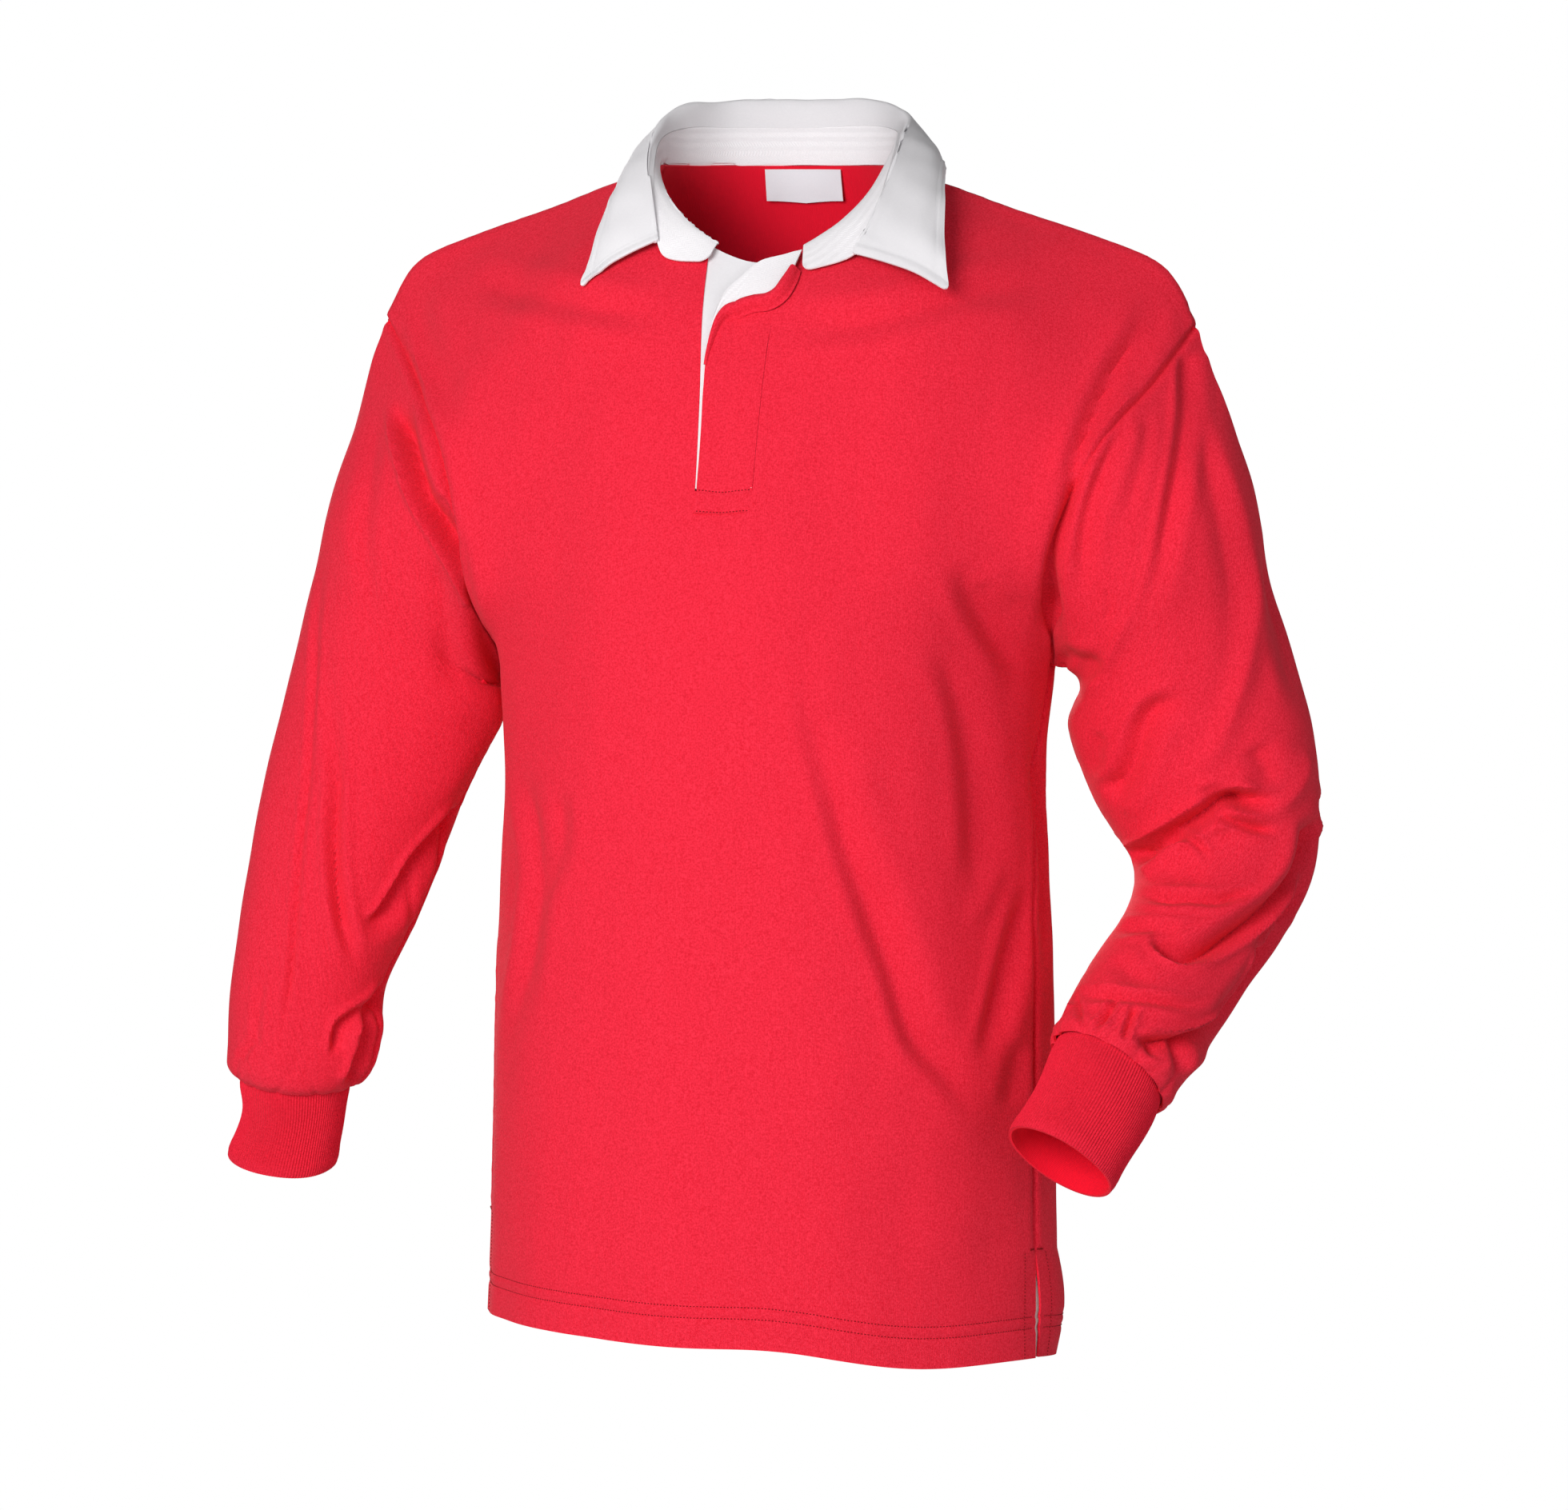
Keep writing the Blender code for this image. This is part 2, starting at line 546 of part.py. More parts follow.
def build(piece, materials):
    """Make the piece's wall as a closed mesh and link it to the scene.

    The edges of a wall are cut into triangles from the outer side of the lower point, so that
    the edges of two pieces that are sewn together fit each other.
    """
    rows, columns = piece.grid.shape[:2]
    outer = piece.grid
    inner = outer - piece.normals * piece.wall
    across = columns if piece.closed else columns - 1
    cells = [
        (row, column)
        for row in range(rows - 1)
        for column in range(across)
        if piece.keep is None or piece.keep[row, column]
    ]
    points = []
    numbers = {}

    def number(side, row, column):
        place = (side, row, column % columns)
        if place not in numbers:
            numbers[place] = len(points)
            points.append(tuple((outer, inner)[side][row, column % columns]))
        return numbers[place]

    faces = []
    edges = {}
    for row, column in cells:
        corners = ((row, column), (row, column + 1), (row + 1, column + 1), (row + 1, column))
        faces.append([number(0, *corner) for corner in corners])
        faces.append([number(1, *corner) for corner in reversed(corners)])
        for start, end in zip(corners, corners[1:] + corners[:1]):
            start = (start[0], start[1] % columns)
            end = (end[0], end[1] % columns)
            if edges.pop((end, start), None) is None:
                edges[(start, end)] = True
    for start, end in edges:
        low_first = outer[start][2] < outer[end][2]
        lower, upper = (start, end) if low_first else (end, start)
        for side, place in ((1, lower), (0, upper)):
            corners = [number(0, *lower), number(1, *upper), number(side, *place)]
            faces.append(corners if low_first == (side == 1) else corners[::-1])
    mesh = bpy.data.meshes.new(piece.name)
    mesh.from_pydata(points, [], faces)
    mesh.validate()
    body = bpy.data.objects.new(piece.name, mesh)
    bpy.context.scene.collection.objects.link(body)
    mesh.materials.append(materials[piece.material])
    bpy.context.view_layer.objects.active = body
    for other in bpy.context.selected_objects:
        other.select_set(False)
    body.select_set(True)
    bpy.ops.object.mode_set(mode="EDIT")
    bpy.ops.mesh.select_all(action="SELECT")
    bpy.ops.mesh.normals_make_consistent(inside=False)
    bpy.ops.object.mode_set(mode="OBJECT")
    return body


def open_vents(front, back, rows):
    """Part the edges of front and back below the tops of the vents."""
    for row in range(rows):
        share = 1 - row / rows
        for column, next_column in ((0, 1), (-1, -2)):
            for grid, sign in ((front, -1), (back, 1)):
                grid[row, column, 1] += sign * VENT_OPENING / 2 * share
                grid[row, next_column, 1] += sign * VENT_OPENING / 4 * share


def vent_tape(front, back, rows):
    """Return the grid of the tape inside the vent on the wearer's left."""
    lines = []
    for piece in (front, back):
        edge = piece.grid[:rows + 1, -1]
        along = piece.grid[:rows + 1, -2] - edge
        along /= np.linalg.norm(along, axis=1, keepdims=True)
        inward = piece.normals[:rows + 1, -1] * (piece.wall + VENT_TAPE_DEPTH)
        lines.append(edge + along * VENT_TAPE_REACH - inward)
    middle = (lines[0] + lines[1]) / 2
    return np.stack([lines[0], middle, lines[1]], axis=1)


def strip(rows, dense, extra_rise, columns, steps):
    """Return the grid of a placket strip that lies over the front panel."""
    rows = table(PLACKET_COLUMNS, rows)
    values = [[row["level"], row["left"], row["right"], row["rise"]] for row in rows]
    values = smooth(np.arange(len(rows)), values, split(len(rows), steps))
    across = np.linspace(0.0, 1.0, columns)
    left, right = values[:, 1:2], values[:, 2:3]
    share = left + (right - left) * across
    rise = extra_rise + values[:, 3:4] * (1 - across)
    return lay_on(dense, share, values[:, 0:1], rise)


def facing_roll(dense, columns, steps):
    """Return the grid of the rolled top of the fly's facing."""
    rows = table(FACING_COLUMNS, FACING_ROLL)
    values = [[row[name] for name in FACING_COLUMNS[1:]] for row in rows]
    values = smooth(np.arange(len(rows)), values, split(len(rows), steps))
    centre = lay_on(dense, values[:, 0], values[:, 1], 0.0)
    crest = lay_on(dense, values[:, 0], values[:, 1], values[:, 3])
    out = (crest - centre) / np.linalg.norm(crest - centre, axis=1, keepdims=True)
    along = np.gradient(centre, axis=0)
    side = np.cross(along, out)
    side /= np.linalg.norm(side, axis=1, keepdims=True)
    angles = np.linspace(-0.5 * math.pi, 0.5 * math.pi, columns)
    half = values[:, 2][:, None, None]
    base = centre + out * (values[:, 3] - values[:, 2])[:, None]
    arch = (
        base[:, None]
        + side[:, None] * half * np.sin(angles)[None, :, None]
        + out[:, None] * half * np.cos(angles)[None, :, None]
    )
    return arch


def placket_tape(dense, columns, steps):
    """Return the grid of the tape that shows behind the rolled facing."""
    rows = table(TAPE_COLUMNS, PLACKET_TAPE)
    values = [[row[name] for name in TAPE_COLUMNS[1:]] for row in rows]
    values = smooth(np.arange(len(rows)), values, split(len(rows), steps))
    across = np.linspace(0.0, 1.0, columns)
    level = values[:, 1:2] + (values[:, 2:3] - values[:, 1:2]) * across
    return lay_on(dense, values[:, 0:1], level, values[:, 3:4])


def on_edge(edge, neck, lift):
    """Return points of the neckline moved to the panels' real top edge, and lifted."""
    result = neck.copy()
    starts, ends = edge[:-1], edge[1:]
    runs = ends - starts
    for place, point in enumerate(neck):
        share = np.einsum("ij,ij->i", point - starts, runs) / np.einsum("ij,ij->i", runs, runs)
        spots = starts + np.clip(share, 0.0, 1.0)[:, None] * runs
        result[place] = spots[np.argmin(np.linalg.norm(spots - point, axis=1))]
    result[:, 2] += lift
    return result


def collar_grids(rows, tips, side, steps):
    """Return the grids of one side of the band and of the leaf, from back to front."""
    rows = table(COLLAR_COLUMNS, rows)
    tips = table(COLLAR_COLUMNS[:5], tips)
    bands = []
    for row in rows + tips:
        foot = neckline(row["turn"], side)
        top = np.array([row["band_x"], row["band_y"], row["band_z"]])
        rise = np.array([0.0, 0.0, 0.35 * np.linalg.norm(top - foot)])
        t = np.linspace(0.0, 1.0, 4)[:, None]
        bands.append((1 - t) ** 2 * foot + 2 * t * (1 - t) * (foot + rise) + t**2 * top)
    leaves = []
    for row in rows:
        seam = np.array([row["band_x"], row["band_y"], row["band_z"]])
        roll = np.array([row["roll_x"], row["roll_y"], row["roll_z"]])
        edge = np.array([row["edge_x"], row["edge_y"], row["edge_z"]])
        out = edge - seam
        out[2] = 0.0
        out /= np.linalg.norm(out)
        up = np.array([0.0, 0.0, 1.0])
        radius = row["radius"]
        before = roll - out * radius * 0.8 - up * radius
        after = roll + out * radius - up * radius * 0.8
        middle = (after + edge) / 2 + out * 0.004 + up * 0.002
        profile = np.array([seam, before, roll, after, middle, edge])
        stations = np.arange(len(profile))
        leaves.append(smooth(stations, profile, np.linspace(0, stations[-1], LEAF_POINTS)))
    band = smooth(np.arange(len(bands)), bands, split(len(bands), steps))
    leaf = smooth(np.arange(len(leaves)), leaves, split(len(leaves), steps))
    return band, leaf


def main():
    """Build every piece of the shirt."""
    for old in list(bpy.data.objects):
        bpy.data.objects.remove(old, do_unlink=True)
    materials = make_materials()
    front = panel(True, COLUMNS, SIDE_STEPS, ARMHOLE_STEPS)
    back = panel(False, COLUMNS, SIDE_STEPS, ARMHOLE_STEPS)
    armpit = (len(TORSO_SECTIONS) - 1) * SIDE_STEPS
    join_sides(front, back, armpit + 1)
    open_vents(front, back, SIDE_STEPS)
    notch = np.ones((front.shape[0] - 1, front.shape[1] - 1), bool)
    middle = len(COLUMNS)
    placket_row = armpit + 2 * ARMHOLE_STEPS
    notch[placket_row:, middle - 1:middle + 1] = False
    pieces = [
        Cloth("front_panel", front, JERSEY, "red jersey", keep=notch),
        Cloth("back_panel", back, JERSEY, "red jersey", flip=True),
    ]
    for name, side, rings, cuff in (
        ("left", 1, LEFT_SLEEVE, LEFT_CUFF),
        ("right", -1, RIGHT_SLEEVE, RIGHT_CUFF),
    ):
        column = -1 if side == 1 else 0
        armhole = np.concatenate([front[armpit:, column], back[-2:armpit:-1, column]])
        upper, lower = sleeve(armhole, rings, cuff, side, SLEEVE_STEPS)
        flip = side == 1
        pieces.append(Cloth("sleeve_" + name, upper, JERSEY, "red jersey", True, flip))
        pieces.append(Cloth("cuff_" + name, lower, RIB, "red rib", True, flip))
    left_band, left_leaf = collar_grids(LEFT_COLLAR, LEFT_BAND_TIP, 1, COLLAR_STEPS)
    right_band, right_leaf = collar_grids(RIGHT_COLLAR, RIGHT_BAND_TIP, -1, COLLAR_STEPS)
    leaf_start = len(RIGHT_BAND_TIP) * COLLAR_STEPS
    band = np.concatenate([right_band[:0:-1], left_band])
    leaf = np.concatenate([right_leaf[:0:-1], left_leaf])
    folds = table(FOLD_COLUMNS, FOLDS)
    for piece in pieces:
        press_folds(piece, [fold for fold in folds if fold["piece"] == piece.name])
    share_seams(pieces)
    front_face = dense_panel(True)
    back_face = dense_panel(False)
    neck = len(COLUMNS) - COLUMNS.index(NECK_COLUMN) - 1
    for face in (front, back):
        edge = face[-1, neck:-neck]
        near = (band[:, 0, 1] < SHOULDER_SEAM[0][2]) == (face is front)
        band[near, 0] = on_edge(edge, band[near, 0], SEAM_GAP)
    band = stand_off(band, front_face, COLLAR_CLEARANCE)
    leaf = stand_off(leaf, front_face, COLLAR_CLEARANCE)
    leaf = stand_off(leaf, back_face, COLLAR_CLEARANCE)
    leaf[:, 0] = band[leaf_start:leaf_start + len(leaf), -1]
    collar = [
        Cloth("collar_band", band, TAPE, "white tape"),
        Cloth("collar_leaf", leaf, TWILL, "white twill"),
    ]
    share_seams(collar)
    pieces += collar
    over = JERSEY + SEAM_GAP
    fly = strip(FLY, front_face, over, 4, 1)
    under = strip(UNDER_STRIP, front_face, -over, 4, 4)
    roll = facing_roll(front_face, 5, 2)
    tape = placket_tape(front_face, 3, 2)
    level, depth = np.array(LABEL_ROWS).T[:, :, None]
    across = np.linspace(-LABEL_HALF, LABEL_HALF, 5)[None, :]
    label = lay_on(back_face, across, level, -depth)
    pieces += [
        Cloth("placket_fly", fly, JERSEY, "red jersey"),
        Cloth("placket_under", under, TWILL, "white twill"),
        Cloth("placket_facing", roll, TAPE, "red jersey"),
        Cloth("placket_tape", tape, TAPE, "white tape"),
        Cloth("neck_label", label, LABEL_WALL, "white label"),
        Cloth("vent_tape_left", vent_tape(pieces[0], pieces[1], SIDE_STEPS), TAPE, "white tape"),
    ]
    for piece in pieces:
        trim(piece, SEAM_GAP)
        build(piece, materials)


def make_materials():
    """Return the finishes by name."""
    finishes = {
        "red jersey": ((0.78, 0.02, 0.04, 1.0), 0.9),
        "red rib": ((0.74, 0.02, 0.04, 1.0), 0.9),
        "white twill": ((0.86, 0.85, 0.86, 1.0), 0.8),
        "white tape": ((0.84, 0.83, 0.85, 1.0), 0.85),
        "white label": ((0.85, 0.83, 0.87, 1.0), 0.6),
    }
    made = {}
    for name, (colour, roughness) in finishes.items():
        material = bpy.data.materials.new(name)
        material.use_nodes = True
        shader = material.node_tree.nodes["Principled BSDF"]
        shader.inputs["Base Color"].default_value = colour
        shader.inputs["Roughness"].default_value = roughness
        shader.inputs["Metallic"].default_value = 0.0
        made[name] = material
    return made


main()
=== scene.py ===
"""The looks of a long-sleeved rugby shirt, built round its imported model.

The frame is the wearer's: +Z up, the wearer faces -Y, and the wearer's left is +X. The origin
lies at the base of the neck. Lengths are metres unless a name says millimetres.

Every piece of cloth is a fine grid of points on the same smooth curves as its solid. Creases,
seams and gathers move the points along the cloth's normals, and a wall gives the cloth its
thickness inwards.
"""

import logging
import math
from dataclasses import dataclass, field, replace
from enum import Enum
from typing import NamedTuple

import bpy
import numpy as np
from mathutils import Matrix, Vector
from mathutils.kdtree import KDTree


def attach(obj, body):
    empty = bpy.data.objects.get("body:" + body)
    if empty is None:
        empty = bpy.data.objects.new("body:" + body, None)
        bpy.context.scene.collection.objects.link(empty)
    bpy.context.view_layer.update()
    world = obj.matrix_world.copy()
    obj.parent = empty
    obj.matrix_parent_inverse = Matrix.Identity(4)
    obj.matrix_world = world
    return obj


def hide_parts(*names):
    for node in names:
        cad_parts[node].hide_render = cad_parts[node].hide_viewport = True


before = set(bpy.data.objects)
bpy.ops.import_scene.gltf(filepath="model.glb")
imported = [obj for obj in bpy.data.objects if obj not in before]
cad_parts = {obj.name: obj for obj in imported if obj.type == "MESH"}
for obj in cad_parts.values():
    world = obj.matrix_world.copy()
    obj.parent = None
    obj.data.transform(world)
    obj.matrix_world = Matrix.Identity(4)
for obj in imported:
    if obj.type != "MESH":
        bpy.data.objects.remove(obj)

LOG = logging.getLogger("rugby shirt")
Array = np.ndarray
Thing = bpy.types.Object
Material = bpy.types.Material
Socket = bpy.types.NodeSocket
Trio = tuple[float, float, float]
Signal = Socket | float | Trio
Signals = dict[int | str, Signal]
MM = 0.001
TURN = 2 * math.pi
CLOTH_UV = "cloth"  # the UV map, in metres across and along the cloth
REVERSE = "reverse_and_shade"  # the attribute that is 1 on a piece's inner face
CENTRE_SPOTS = 20  # points of an armhole from which its middle is taken
CREASE_SPOTS = 40  # points of a crease's centre line
LINE_SPOTS = 300  # points of a line of stitches
STITCH_SIDES = 4  # corners of a stitch's rings
STITCH_RINGS = (  # place along a stitch, size and lift of each ring, as shares of length and radius
    (-0.5, 0.0, -0.7), (-0.34, 0.85, 0.0), (0.0, 1.0, 0.35), (0.34, 0.85, 0.0), (0.5, 0.0, -0.7),
)
STITCH_SHARP = 80.0  # degrees above which a stitch's edge stays sharp


# ---------------------------------------------------------------- curves and grids


def smooth(values: Array, at: Array) -> Array:
    """Return values on the smooth curve through known values that stand one apart.

    Args:
        values: Known values, the first one at place 0.
        at: Places where values are wanted.

    Returns:
        One value for each place.
    """
    values, at = np.asarray(values, float), np.asarray(at, float)
    slopes = np.diff(values, axis=0)
    tangents = np.concatenate([slopes[:1], (slopes[:-1] + slopes[1:]) / 2, slopes[-1:]])
    spot = np.clip(np.floor(at).astype(int), 0, len(slopes) - 1)
    t = (at - spot).reshape((-1,) + (1,) * (values.ndim - 1))
    return (
        values[spot] * (2 * t**3 - 3 * t**2 + 1)
        + values[spot + 1] * (3 * t**2 - 2 * t**3)
        + tangents[spot] * (t**3 - 2 * t**2 + t)
        + tangents[spot + 1] * (t**3 - t**2)
    )


def finer(values: Array, steps: int) -> Array:
    """Return the smooth curve through known values, with that many steps in each gap."""
    gaps = len(values) - 1
    return smooth(values, np.linspace(0, gaps, gaps * steps + 1))


def run_lengths(points: Array) -> Array:
    """Return how far along a line of points each point lies, from zero."""
    steps = np.linalg.norm(np.diff(points, axis=0), axis=-1)
    return np.concatenate([np.zeros((1,) + steps.shape[1:]), np.cumsum(steps, axis=0)])


def sample(line: Array, lengths: Array, at: Array) -> Array:
    """Return points on a line, given the length at each of its points and those wanted."""
    return np.column_stack([np.interp(at, lengths, line[:, axis]) for axis in range(3)])


def even(curve: Array, shares: Array) -> Array:
    """Return points on a dense line at the given shares of its length, from 0 to 1."""
    lengths = run_lengths(curve)
    return sample(curve, lengths, np.asarray(shares) * lengths[-1])


def closed_up(points: Array, axis: int = 0) -> Array:
    """Return the points of a ring with the first one again at the end."""
    return np.concatenate([points, points.take([0], axis=axis)], axis=axis)


def apart(angles: Array, angle: float) -> Array:
    """Return how far angles lie from one angle, the short way round."""
    return np.abs((angles - angle + math.pi) % TURN - math.pi)


def ease(values: Array, low: float, high: float) -> Array:
    """Return a soft step that is 0 below low and 1 above high."""
    t = np.clip((np.asarray(values, float) - low) / (high - low), 0.0, 1.0)
    return t * t * (3 - 2 * t)


def bell(values: Array, width: float) -> Array:
    """Return a soft bump of height one, which has sunk to about a third at width."""
    return np.exp(-((values / width) ** 2))


def nearest(values: Array, value: float) -> int:
    """Return the number of the value that lies nearest to one."""
    return int(np.argmin(np.abs(values - value)))


def unit(vectors: Array) -> Array:
    """Return vectors, along the last axis, scaled to a length of one."""
    return vectors / np.maximum(np.linalg.norm(vectors, axis=-1, keepdims=True), 1e-12)


def grid_normals(points: Array, closed: bool) -> Array:
    """Return the unit normals of a grid of points.

    Args:
        points: Grid of points, rows first.
        closed: True if the rows meet themselves, as on a tube.

    Returns:
        A normal for each point.
    """
    down = np.gradient(points, axis=0)
    if closed:
        across = (np.roll(points, -1, axis=1) - np.roll(points, 1, axis=1)) / 2
    else:
        across = np.gradient(points, axis=1)
    return unit(np.cross(across, down))


# ---------------------------------------------------------------- pattern of the body


@dataclass(frozen=True)
class TorsoLevel:
    """One level below the armpit. turn is how far the cloth has turned at the side seam."""

    name: str
    seam: Trio
    front: tuple[float, float]
    back: tuple[float, float]
    full: float
    turn: float
    tilt: float


@dataclass(frozen=True)
class YokeLevel:
    """One level between the armpit and the shoulder; its edge follows the armhole."""

    name: str
    centre: tuple[float, float]
    left_x: float
    right_x: float
    edge: tuple[float, float]
    turn: float
    arch: float
    full: float


@dataclass(frozen=True)
class BodyPattern:
    """Shape of the front and the back panel, from the hem to the shoulder seam."""

    torso: tuple[TorsoLevel, ...] = (
        TorsoLevel("hem", (0.177, -0.020, -0.724), (-0.124, -0.7265), (0.112, -0.727), 0.60, 76.0, 0.062),
        TorsoLevel("vent", (0.1755, -0.020, -0.660), (-0.124, -0.666), (0.110, -0.662), 0.60, 76.0, 0.055),
        TorsoLevel("hip", (0.1745, -0.018, -0.595), (-0.123, -0.600), (0.106, -0.597), 0.60, 76.0, 0.040),
        TorsoLevel("seat", (0.174, -0.014, -0.520), (-0.122, -0.520), (0.102, -0.520), 0.60, 76.0, 0.015),
        TorsoLevel("waist", (0.1715, -0.008, -0.440), (-0.124, -0.440), (0.103, -0.440), 0.60, 78.0, 0.0),
        TorsoLevel("ribs", (0.170, 0.002, -0.380), (-0.126, -0.372), (0.110, -0.378), 0.60, 82.0, 0.0),
        TorsoLevel("armpit", (0.176, 0.020, -0.312), (-0.125, -0.300), (0.118, -0.310), 0.58, 86.0, 0.0),
    )
    front_yoke: tuple[YokeLevel, ...] = (
        YokeLevel("low", (-0.119, -0.250), 0.189, 0.185, (-0.040, -0.262), 66.0, 0.000, 0.52),
        YokeLevel("placket end", (-0.108, -0.205), 0.202, 0.190, (-0.054, -0.215), 50.0, 0.006, 0.48),
        YokeLevel("high", (-0.094, -0.150), 0.222, 0.204, (-0.045, -0.170), 40.0, 0.018, 0.44),
        YokeLevel("collar bone", (-0.075, -0.100), 0.247, 0.232, (-0.005, -0.130), 45.0, 0.034, 0.42),
    )
    back_yoke: tuple[YokeLevel, ...] = (
        YokeLevel("low", (0.122, -0.250), 0.188, 0.188, (0.078, -0.262), 62.0, 0.000, 0.52),
        YokeLevel("blades", (0.121, -0.190), 0.205, 0.205, (0.094, -0.215), 45.0, 0.004, 0.48),
        YokeLevel("high", (0.116, -0.120), 0.226, 0.226, (0.094, -0.170), 35.0, 0.010, 0.44),
        YokeLevel("neck base", (0.105, -0.050), 0.250, 0.250, (0.073, -0.128), 35.0, 0.018, 0.42),
    )
    shoulder_seam: tuple[Trio, ...] = (
        (0.0735, 0.018, 0.006), (0.110, 0.024, -0.004), (0.150, 0.030, -0.018), (0.200, 0.035, -0.034),
        (0.240, 0.038, -0.050), (0.257, 0.039, -0.070), (0.264, 0.038, -0.091),
    )
    shoulder_tilt: float = 0.025
    neck_half_width: float = 0.0735
    neck_back_depth: float = 0.072
    neck_back_rise: float = 0.006
    neck_front_depth: float = 0.070
    neck_drop: float = 0.063
    neck_drop_swing: float = 0.005
    neck_power: float = 1.5
    neck_power_swing: float = 0.4
    neck_blend: float = 0.02
    neck_share: float = 0.43
    vent_opening: float = 0.006
    vent_reach: float = 0.29
    vent_power: float = 1.5
    join_reach: float = 0.43
    edge_level: float = 0.35
    curve_points: int = 80
    edge_points: int = 60

    @property
    def armpit(self) -> int:
        """Station of the armpit; stations count levels up from the hem."""
        return len(self.torso) - 1

    @property
    def top(self) -> int:
        """Station of the neckline and the shoulder seam."""
        return self.armpit + len(self.back_yoke) + 1

    def section(self, centre: Array, edge: Array, turn: float, full: float, shares: Array) -> Array:
        """Return one side of a level of the body, from its centre to its edge.

        Args:
            centre: Point on the centre line.
            edge: Point on the seam or armhole.
            turn: Degrees that the cloth has turned at the edge.
            full: How full the curve is, from 0 to 1.
            shares: Shares of the curve's length.

        Returns:
            A point for each share.
        """
        t = np.linspace(0.0, 1.0, self.curve_points)[:, None]
        angle = math.radians(turn)
        first = np.array([full * edge[0], centre[1], centre[2]])
        last = np.array([
            edge[0] - math.cos(angle) * full * edge[0],
            edge[1] - math.sin(angle) * full * (edge[1] - centre[1]),
            edge[2] + self.edge_level * (centre[2] - edge[2]),
        ])
        curve = (1 - t) ** 3 * centre + 3 * (1 - t) ** 2 * t * first + 3 * (1 - t) * t**2 * last + t**3 * edge
        return even(curve, shares)

    def neckline(self, turn: Array, side: int) -> Array:
        """Return points of the neckline.

        Args:
            turn: Degrees round the neck, 0 at the centre back and 180 at the centre front.
            side: 1 for the wearer's left, -1 for the right.

        Returns:
            A point for each turn.
        """
        angle = np.radians(np.asarray(turn, float))
        x = self.neck_half_width * np.sin(angle) * side
        ahead = np.cos(angle)
        swing = np.tanh(x / self.neck_blend)
        drop = self.neck_drop + self.neck_drop_swing * swing
        power = self.neck_power - self.neck_power_swing * swing
        _, start_y, start_z = self.shoulder_seam[0]
        y = start_y + np.where(ahead >= 0, self.neck_back_depth, self.neck_front_depth) * ahead
        back_z = start_z + self.neck_back_rise * ahead
        front_z = start_z - drop * np.abs(ahead) ** power
        return np.stack([x, y, np.where(ahead >= 0, back_z, front_z)], axis=-1)

    def top_edge(self, front: bool, side: int, shares: Array) -> Array:
        """Return a panel's top edge: half the neckline, then the shoulder seam.

        Args:
            front: True for the front panel.
            side: 1 for the wearer's left, -1 for the right.
            shares: Shares of the half width.

        Returns:
            A point for each share.
        """
        turns = np.linspace(180.0 if front else 0.0, 90.0, self.edge_points)
        line = smooth(self.shoulder_seam, np.linspace(0, len(self.shoulder_seam) - 1, self.edge_points))
        line[:, 0] *= side
        by_neck = even(self.neckline(turns, side), np.minimum(shares / self.neck_share, 1.0))
        beyond = np.maximum((shares - self.neck_share) / (1 - self.neck_share), 0.0)
        by_seam = even(line, beyond)
        return np.where((shares <= self.neck_share)[:, None], by_neck, by_seam)

    def levels(self, front: bool, side: int, shares: Array) -> Array:
        """Return the level curves of one side of a panel, from hem to shoulder.

        Args:
            front: True for the front panel.
            side: 1 for the wearer's left, -1 for the right.
            shares: Shares of the half width.

        Returns:
            One row of points for each station.
        """
        rows = []
        for level in self.torso:
            centre = np.array([0.0, *(level.front if front else level.back)])
            turn = level.turn if front else 180.0 - level.turn
            row = self.section(centre, np.array(level.seam), turn, level.full, shares)
            row[:, 0] *= side
            row[:, 2] -= level.tilt * row[:, 0]
            rows.append(row)
        yoke = self.front_yoke if front else self.back_yoke
        for level in yoke:
            centre = np.array([0.0, *level.centre])
            edge = np.array([level.left_x if side == 1 else level.right_x, *level.edge])
            row = self.section(centre, edge, level.turn, level.full, shares)
            row[:, 2] += level.arch * np.sin(np.pi * shares)
            row[:, 0] *= side
            rows.append(row)
        rows.append(self.top_edge(front, side, shares))
        for step, row in enumerate(rows[len(self.torso):]):
            row[:, 2] -= self.shoulder_tilt * row[:, 0] * (step + 1) / (len(yoke) + 1)
        return np.array(rows)

    def panel(self, front: bool, half_shares: Array, stations: Array) -> Array:
        """Return a panel: rows go up, columns go to the wearer's left.

        Args:
            front: True for the front panel.
            half_shares: Shares of the half width, from 0 to 1.
            stations: Stations of the rows.

        Returns:
            The grid of points.
        """
        left = self.levels(front, 1, half_shares)
        right = self.levels(front, -1, half_shares)
        rows = np.concatenate([right[:, :0:-1], left], axis=1)
        return smooth(rows, stations)

    def join_sides(self, front: Array, back: Array, shares: Array, stations: Array) -> None:
        """Let front and back meet on one line below the armpit, and part them at the vents.

        Args:
            front: Grid of the front panel, changed in place.
            back: Grid of the back panel, changed in place.
            shares: Share of each column, negative on the wearer's right.
            stations: Station of each row.
        """
        body = stations <= self.armpit
        weight = ease(np.abs(shares), 1 - self.join_reach, 1.0)
        near = ease(np.abs(shares), 1 - self.vent_reach, 1.0)
        opening = np.clip(1 - stations, 0.0, 1.0)[:, None] ** self.vent_power * near * self.vent_opening / 2
        for column, side in ((0, shares < 0), (-1, shares > 0)):
            gap = (back[:, column] - front[:, column]) * body[:, None]
            move = gap[:, None] * (weight * side)[None, :, None] / 2
            front += move
            back -= move
        front[..., 1] -= opening
        back[..., 1] += opening


@dataclass(frozen=True)
class Ring:
    """One ring of a sleeve. lift is the angle by which its outer end is the higher one."""

    name: str
    x: float
    y: float
    z: float
    across: float
    deep: float
    lift: float


